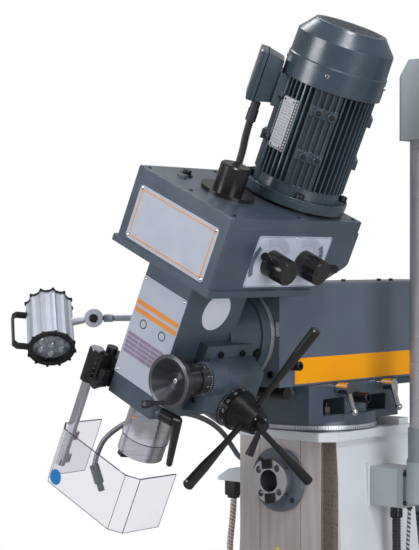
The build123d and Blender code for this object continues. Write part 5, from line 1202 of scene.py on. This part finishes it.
def terminal_cover():
    """The motor's connection box, drawn along X: a neck, a chamfered body and a lid with a lip."""
    box = block(98, 132, -42, 42, 452, 546)
    choose_faces(box, lambda c, n: n.x < -0.9)
    bpy.ops.transform.resize(value=NECK_SCALE, center_override=BOX_BACK)
    for inset, rise in LID_STEPS:
        draw_on(box, inset, (rise, 0, 0), lambda c, n: n.x > 0.9)
    soften(box, 1.0, 2)
    return box


def about_motor(piece, angle=0.0):
    """Turns a piece drawn round Z about the motor's axis."""
    bake_place(piece, Matrix.Translation((MOTOR_X, MOTOR_Y, 0)) @ Matrix.Rotation(angle, 4, "Z"))
    return piece


settle(level_plug(), "cover_plug", *HEAD_BLACK)
terminal = settle(about_motor(terminal_cover(), TERMINAL_TURN - math.pi / 2), "terminal_cover", *MOTOR_PAINT)
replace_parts(terminal, "terminal_box")
print("terminal box", [round(v, 4) for v in terminal.dimensions])

# %% [markdown]
# ## Pads and bosses on the motor
# The motor's frame is cast with bosses: four on a pad at the front right and two on a smooth rail at the
# front left, each with a screw. A boss is a turned stub with a broken rim, and the rail a block with
# rounded outer edges.

# %% Motor bosses
def round_motor(reach, degrees, z):
    """A point on the motor's barrel and its outward direction."""
    angle = math.radians(degrees)
    out = (math.cos(angle), math.sin(angle), 0)
    return (MOTOR_X + reach * out[0], MOTOR_Y + reach * out[1], z), out


def on_pad(reach, degrees, aside, z):
    """A point on a flat pad of the barrel, a distance aside of its middle, and the pad's direction."""
    (x, y, z), out = round_motor(reach, degrees, z)
    return (x - aside * out[1], y + aside * out[0], z), out


def motor_bosses(places, height, radius):
    """Cast bosses on the barrel, each a turned stub with a broken rim, in one piece."""
    return joined([point_along(stepped_rod(radius, height - 1.5, ((1.5, 1.5),), 20), point, out)
                   for point, out in places])


def boss_rail(degrees, low, high, half, reach):
    """A smooth rib along the barrel that carries bosses."""
    rail = block(reach[0], reach[1], -half, half, low, high)
    bevel(rail, lambda a, b: min(a.x, b.x) > reach[1] - 0.1, 3, 3)
    return about_motor(rail, math.radians(degrees))


PAD_SPOTS = [(-50, aside, z) for aside in (-10, 16) for z in (394, 478)]
RAIL_TURN = -116
RAIL_SPOTS = [(RAIL_TURN, 0, 398), (RAIL_TURN, 0, 478)]
settle(motor_bosses([on_pad(88, *spot) for spot in PAD_SPOTS], 10, 9), "motor_pad_bosses", *MOTOR_PAINT)
settle(boss_rail(RAIL_TURN, FLANGE_TOP + 2, 514, 8, (76, 90)), "motor_rail", *MOTOR_PAINT)
settle(motor_bosses([on_pad(86, *spot) for spot in RAIL_SPOTS], 9, 9), "motor_rail_bosses", *MOTOR_PAINT)
copies(SCREW, "motor_pad_screws", [on_pad(94.4, *spot) for spot in PAD_SPOTS], 0.95, *DARK_SCREWS)
copies(SCREW, "motor_rail_screws", [on_pad(91, *spot) for spot in RAIL_SPOTS], 1.05, *DARK_SCREWS)
copies(SCREW, "fan_cover_screws", [round_motor(92.5, d, 546) for d in (-60, 30, 120, 210)], 0.75,
       *BRIGHT_SCREWS)
print("bosses", len(PAD_SPOTS) + len(RAIL_SPOTS))

# %% [markdown]
# ## Webs under the motor
# Between the motor's barrel and its flange stand short radial webs inside a low rim. One web is a thin
# block with rounded top edges, repeated every ten degrees. A small orange dot on the quill is a thin disc
# with a raised middle.

# %% Flange webs and quill dot
WEB_COUNT, WEB_TOP, RIM_R, RIM_WALL = 36, FLANGE_TOP + 5, 102, 4.5


def flange_webs():
    """Radial webs between the barrel and the flange's rim."""
    pieces = []
    for index in range(WEB_COUNT):
        web = block(80, 98, -1.4, 1.4, FLANGE_TOP - 0.5, WEB_TOP)
        bevel(web, lambda a, b: min(a.z, b.z) > WEB_TOP - 0.1, 0.8, 2)
        pieces.append(about_motor(web, math.radians(index * 10 + 5)))
    rim = about_motor(band(RIM_R, FLANGE_TOP - 0.5, FLANGE_TOP + 5.5, 72, RIM_WALL))
    soften(rim, 0.6)
    return joined([*pieces, rim])


settle(flange_webs(), "flange_webs", *MOTOR_PAINT)
turned("quill_dot", (2.8, 0.3, ((0.7, 0.2),)), (-6, -459.8, -170), FRONT, "quill", "brass", print_orange,
       HEAD)
print("webs", WEB_COUNT)

# %% [markdown]
# ## Screws on the ram, turret and column
# The ram's flange, the bearing cap and the post's foot are screwed on. Set screws stand on top of the ram
# for its gib. A cast sleeve lengthens the post's socket and stiffens the tube where it leaves the foot.

# %% Machine screws
RAM_FRONT, RAM_TOP, DECK_FACE, NOSE_FACE, NOSE_Z = -245, 1587, -125, -158, 1190
RAM_SCREWS, COLUMN_SCREWS = ("ram", "blackened_metal", blackened), ("column", "blackened_metal", blackened)
copies(SCREW, "ram_flange_screws", grid((-85, 85), (RAM_FRONT + 4.5,), (1411, 1565), FRONT), 1.5, *RAM_SCREWS)
copies(SCREW, "ram_set_screws", grid((70,), (4, 127, 170), (RAM_TOP,), UP), 0.9, *RAM_SCREWS)
copies(SCREW, "bearing_cap_screws", grid((-41, 41), (DECK_FACE + 4,), (NOSE_Z - 38, NOSE_Z + 38), FRONT), 1.0,
       *COLUMN_SCREWS)
copies(SCREW, "nose_key_screws",
       [((x, NOSE_FACE + 5.6, z), FRONT) for x, z in ((-4.4, 1224), (4.4, 1156))], 0.75,
       "horizontal_spindle", "bright_steel", turned_steel)
copies(SCREW, "post_foot_screws", grid((209,), (19.5,), (1205, 1147), RIGHT), 0.9, *COLUMN_SCREWS)
turned("post_sleeve", (27, 5, ((1.8, 60), (0.8, 2)), 48), (240, 32, 1232), UP, "column", "die_cast",
       sleeve_paint)
turned("oil_nipple", (5, 3, ((1.2, 3), (1.2, 1.5))), (-6, -115, 1047), FRONT, "column", "brass", oiler_yellow)
outline_ring("pinion_ring", (115.05, -18, 1356), 16, RIGHT, "turret", "black_plastic", print_dark)
print("screws on the machine placed")

# %% [markdown]
# ## Scales
# The head's swivel and the turret's flange each wear a bright band divided in degrees. Marks every degree
# would be finer than the picture can show, so they are 2.5 degrees apart, with a longer one every ten.

# %% Scale helper
MARK_DEPTH, MARK_STEP = 0.24, 2.5


def marks(radius, places):
    """Marks round a drum: (degrees, low, high, width), along the Z axis."""
    start()
    piece = None
    for degrees, low, high, width in places:
        angle = math.radians(degrees)
        bpy.ops.mesh.primitive_cube_add(
            size=1, location=(radius * math.cos(angle), radius * math.sin(angle), (low + high) / 2),
            rotation=(0, 0, angle), scale=(MARK_DEPTH, width, high - low))
        if piece is None:
            piece = bpy.context.object
            bake_place(piece)
            edit(piece)
    soften(piece, 0.03)
    return piece


def degree_marks(low, high, width):
    """Marks of a protractor, with every fourth one longer."""
    return [(i * MARK_STEP, low, high if i % 4 == 0 else (low + high) / 2 + 0.5, width)
            for i in range(round(360 / MARK_STEP))]


print("scale marks", len(degree_marks(0, 1, 1)))

# %% [markdown]
# ## Tilt scale and turret scale
# One band is on the head's swivel with a pointer on the ram, the other on the turret's flange. A dark
# groove runs round the quill. Bands and marks are separate pieces, because they have different finishes.

# %% Tilt scale and turret scale
SWIVEL_R, TURRET_R, QUILL_R = 95, 127, 46
ON_SWIVEL, ON_QUILL = ((0, RAM_FRONT, 0), FRONT), ((0, -414, 0), (0, 0, -1))
SCALE, MARK = ("bright_steel", dial_silver), ("black_plastic", print_dark)
settle(point_along(band(SWIVEL_R + 0.35, 2.5, 12.5), *ON_SWIVEL), "tilt_scale", "head", *SCALE, HEAD)
settle(point_along(marks(SWIVEL_R + 0.4, degree_marks(3, 11, 0.9)), *ON_SWIVEL), "tilt_scale_marks", "head",
       *MARK, HEAD)
settle(point_along(band(QUILL_R + 0.15, 210.2, 212), *ON_QUILL), "quill_groove", "quill", *MARK, HEAD)
settle(band(TURRET_R + 0.35, 1293, 1301), "turret_scale", "turret", *SCALE)
settle(marks(TURRET_R + 0.4, degree_marks(1293.5, 1300, 0.9)), "turret_scale_marks", "turret", *MARK)
plate("tilt_pointer", (96.5, 104, RAM_FRONT - 1, RAM_FRONT, 1485, 1513), 1, "ram", *SCALE)
prints("tilt_pointer_marks", [(96.8, 100 if i % 2 else 102, RAM_FRONT - 1.1, RAM_FRONT - 1, 1487 + i * 4,
                               1487.7 + i * 4) for i in range(7)], "ram", *MARK)
print("scales on radius", SWIVEL_R, TURRET_R)

# %% [markdown]
# ## Dials
# The feed dials are black with pale marks and plain numbers. Numbers begin as text, become mesh and are
# then laid round the drum one by one.

# %% Dials
NUMBER_LEVEL, NUMBER_DEPTH = 13, 0.08


def numbers(radius, values, height):
    """Plain numbers round a drum whose axis is Z, in one piece."""
    made = []
    stand = Matrix(((0, 0, 1, radius), (1, 0, 0, 0), (0, 1, 0, NUMBER_LEVEL), (0, 0, 0, 1)))
    for index, value in enumerate(values):
        start()
        bpy.ops.object.text_add()
        sign = bpy.context.object
        sign.data.body, sign.data.size, sign.data.extrude = str(value), height, NUMBER_DEPTH
        sign.data.align_x, sign.data.align_y = "CENTER", "CENTER"
        bpy.ops.object.convert(target="MESH")
        sign = bpy.context.object
        bake_place(sign, Matrix.Rotation(2 * math.pi * index / len(values), 4, "Z") @ stand)
        made.append(sign)
    return joined(made)


def dial(name, body, radius, place, count, width, values, height):
    """A drum's marks, with every fifth one longer, and its numbers."""
    spots = [(i * 360 / count, 1.5, 7 if i % 5 == 0 else 4.5, width) for i in range(count)]
    ink = (body, "lamp_metal", print_pale, HEAD)
    settle(point_along(marks(radius, spots), *place), name + "_marks", *ink)
    settle(point_along(numbers(radius, values, height), *place), name + "_numbers", *ink)
    print(name, "marks", len(spots))


HUB_Y, HUB_Z, HUB_SCREW_R = -354, -84.5, 17
dial("capstan_dial", "capstan", 40, ((126.3, HUB_Y, HUB_Z), RIGHT), 60, 0.8, range(0, 120, 10), 7)
dial("fine_dial", "fine_feed_wheel", 30, ((104, -440.3, -34), FRONT), 50, 0.7, range(0, 50, 5), 6)
copies(SCREW, "fine_wheel_screw", [((104, -506, -34), FRONT)], 0.9, "fine_feed_wheel", *SCALE, HEAD)
hub_screws = [((195, HUB_Y + HUB_SCREW_R * math.cos(a), HUB_Z + HUB_SCREW_R * math.sin(a)), RIGHT)
              for a in map(math.radians, (24, 144, 264))]
copies(SCREW, "capstan_hub_screws", hub_screws, 0.5, "capstan", "bright_steel", turned_steel, HEAD)

# %% [markdown]
# ## Guard and lamp details
# A blank blue sticker marks the guard's lower corner. The lamp's knuckle has a black cap over its clamp
# screw. Both are turned discs with a raised middle.

# %% Guard and lamp
turned("guard_disc", (15, 0.3, ((1.2, 0.15),), 48), (-72, -542, -327), FRONT, "guard", "panel_plastic",
       label_blue, HEAD)
KNUCKLE, KNUCKLE_OUT = Vector((-225, -417, 1517)), Vector((0.665, -0.747, 0.0))
turned("knuckle_cap", (8.5, 1.2, ((1.5, 0.8),), 32), KNUCKLE + KNUCKLE_OUT * 9.1, KNUCKLE_OUT, "lamp",
       "black_plastic", black_phenolic)
print("guard disc and knuckle cap placed")

# %% [markdown]
# ## The readout's face
# The picture shows only the foot of its post, so the face is plain: three dark windows and a field of blank
# keys. The windows are thin printed bars and the keys are blocks with rounded edges.

# %% Readout face
WINDOW_Z, WINDOW_STEP, KEY_STEP = (1739, 1771), 50, (25, 27)
windows = [(440, 610, 1.2, 2, WINDOW_Z[0] + i * WINDOW_STEP, WINDOW_Z[1] + i * WINDOW_STEP) for i in range(3)]
prints("readout_windows", windows, "readout", *MARK)
keys = [(630 + across * KEY_STEP[0], 648 + across * KEY_STEP[0], 0, 2, 1740 + up * KEY_STEP[1],
         1756 + up * KEY_STEP[1]) for across in range(3) for up in range(5)]
settle(blocks(keys, 0.8, 2), "readout_keys", "readout", "panel_plastic", print_pale)
print("readout windows", len(windows), "keys", len(keys))

# %% [markdown]
# ## Studio floor
# The pale floor fades into a white surround with distance and keeps the machine's shadow. The camera, clear
# plastic and bright metal all see the surround, so the floor is veiled for those rays only.

# %% Floor
WHITE = (1, 1, 1, 1)
GLOW, SHINE, FLOOR_VEIL, FADE_NEAR, FADE_FAR = 0.22, 0.36, 0.95, 1.2, 5.0
for pattern in (SCREW, NUT, RIVET):
    bpy.data.objects.remove(pattern)


def straight_and_glossy(tree):
    """The rays that show the surround itself, and those that mirror it."""
    rays = add(tree, "ShaderNodeLightPath").outputs
    return combine(tree, "MAXIMUM", rays["Is Camera Ray"], rays["Is Transmission Ray"]), rays["Is Glossy Ray"]


def blend(tree, factor, first, second):
    """Mixes two shaders."""
    return add(tree, "ShaderNodeMixShader", {0: factor, 1: first, 2: second}).outputs[0]


def studio_floor():
    start()
    bpy.ops.mesh.primitive_plane_add(size=24, location=(0, 0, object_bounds()[0][2]))
    floor = bpy.context.object
    bake_place(floor)
    edit(floor)
    bpy.ops.mesh.select_all(action="SELECT")
    bpy.ops.mesh.subdivide(number_cuts=3)
    start()
    material, tree, shader, where = begin("studio_floor", 0.0, 0.75)
    feed(tree, shader, {"Base Color": tones(tree, mottle(tree, where, 900), "#F2F2F1", "#ECECEB")})
    through, glossy = straight_and_glossy(tree)
    away = add(tree, "ShaderNodeVectorMath", {0: where}, operation="LENGTH").outputs["Value"]
    fade = add(tree, "ShaderNodeMapRange", {"Value": away, "From Min": FADE_NEAR, "From Max": FADE_FAR,
                                            "To Min": FLOOR_VEIL})
    veil = combine(tree, "MULTIPLY", combine(tree, "MAXIMUM", through, glossy), fade.outputs["Result"])
    glow = add(tree, "ShaderNodeMapRange", {"Value": through, "To Min": SHINE, "To Max": 1.0})
    white = add(tree, "ShaderNodeEmission", {"Color": WHITE, "Strength": glow.outputs["Result"]})
    feed(tree, tree.nodes["Material Output"],
         {"Surface": blend(tree, veil, shader.outputs[0], white.outputs[0])})
    floor.name = "studio_floor"
    floor.data.materials.append(material)
    floor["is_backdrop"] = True


studio_floor()
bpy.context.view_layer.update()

# %% [markdown]
# ## Lamps and surround
# Four soft lamps: one from the front, one from the right, one high above it for the top faces, and one from
# behind on the left to edge the work light. Large discs give the soft edges of a studio's light boxes, and
# the white surround fills the shadows.

# %% Lamps and surround
COOL, AIM = (0.94, 0.96, 1.0), (0, -0.35, 1.45)


def soft_lamp(name, place, size, power):
    light = bpy.data.lights.new(name, "AREA")
    light.shape, light.size, light.energy, light.color = "DISK", size, power, COOL
    holder = bpy.data.objects.new(name, light)
    bpy.context.scene.collection.objects.link(holder)
    holder.location = place
    holder.rotation_euler = (Vector(AIM) - Vector(place)).to_track_quat("-Z", "Y").to_euler()


def studio_world():
    world = bpy.data.worlds.new("studio")
    bpy.context.scene.world = world
    world.use_nodes = True
    tree = world.node_tree
    tree.nodes.clear()
    through, glossy = straight_and_glossy(tree)
    glow, shine, white = [add(tree, "ShaderNodeBackground", {"Color": WHITE, "Strength": strength}).outputs[0]
                          for strength in (GLOW, SHINE, 1.0)]
    soft = blend(tree, glossy, glow, shine)
    add(tree, "ShaderNodeOutputWorld", {"Surface": blend(tree, through, soft, white)})


soft_lamp("front_lamp", (-0.9, -3.3, 2.5), 1.6, 68)
soft_lamp("right_lamp", (3.3, -1.1, 1.6), 2.0, 54)
soft_lamp("high_lamp", (2.2, -1.2, 4.3), 0.9, 56)
soft_lamp("rear_lamp", (-1.0, 0.6, 4.0), 1.2, 30)
studio_world()
bpy.context.scene.view_settings.view_transform = "Standard"
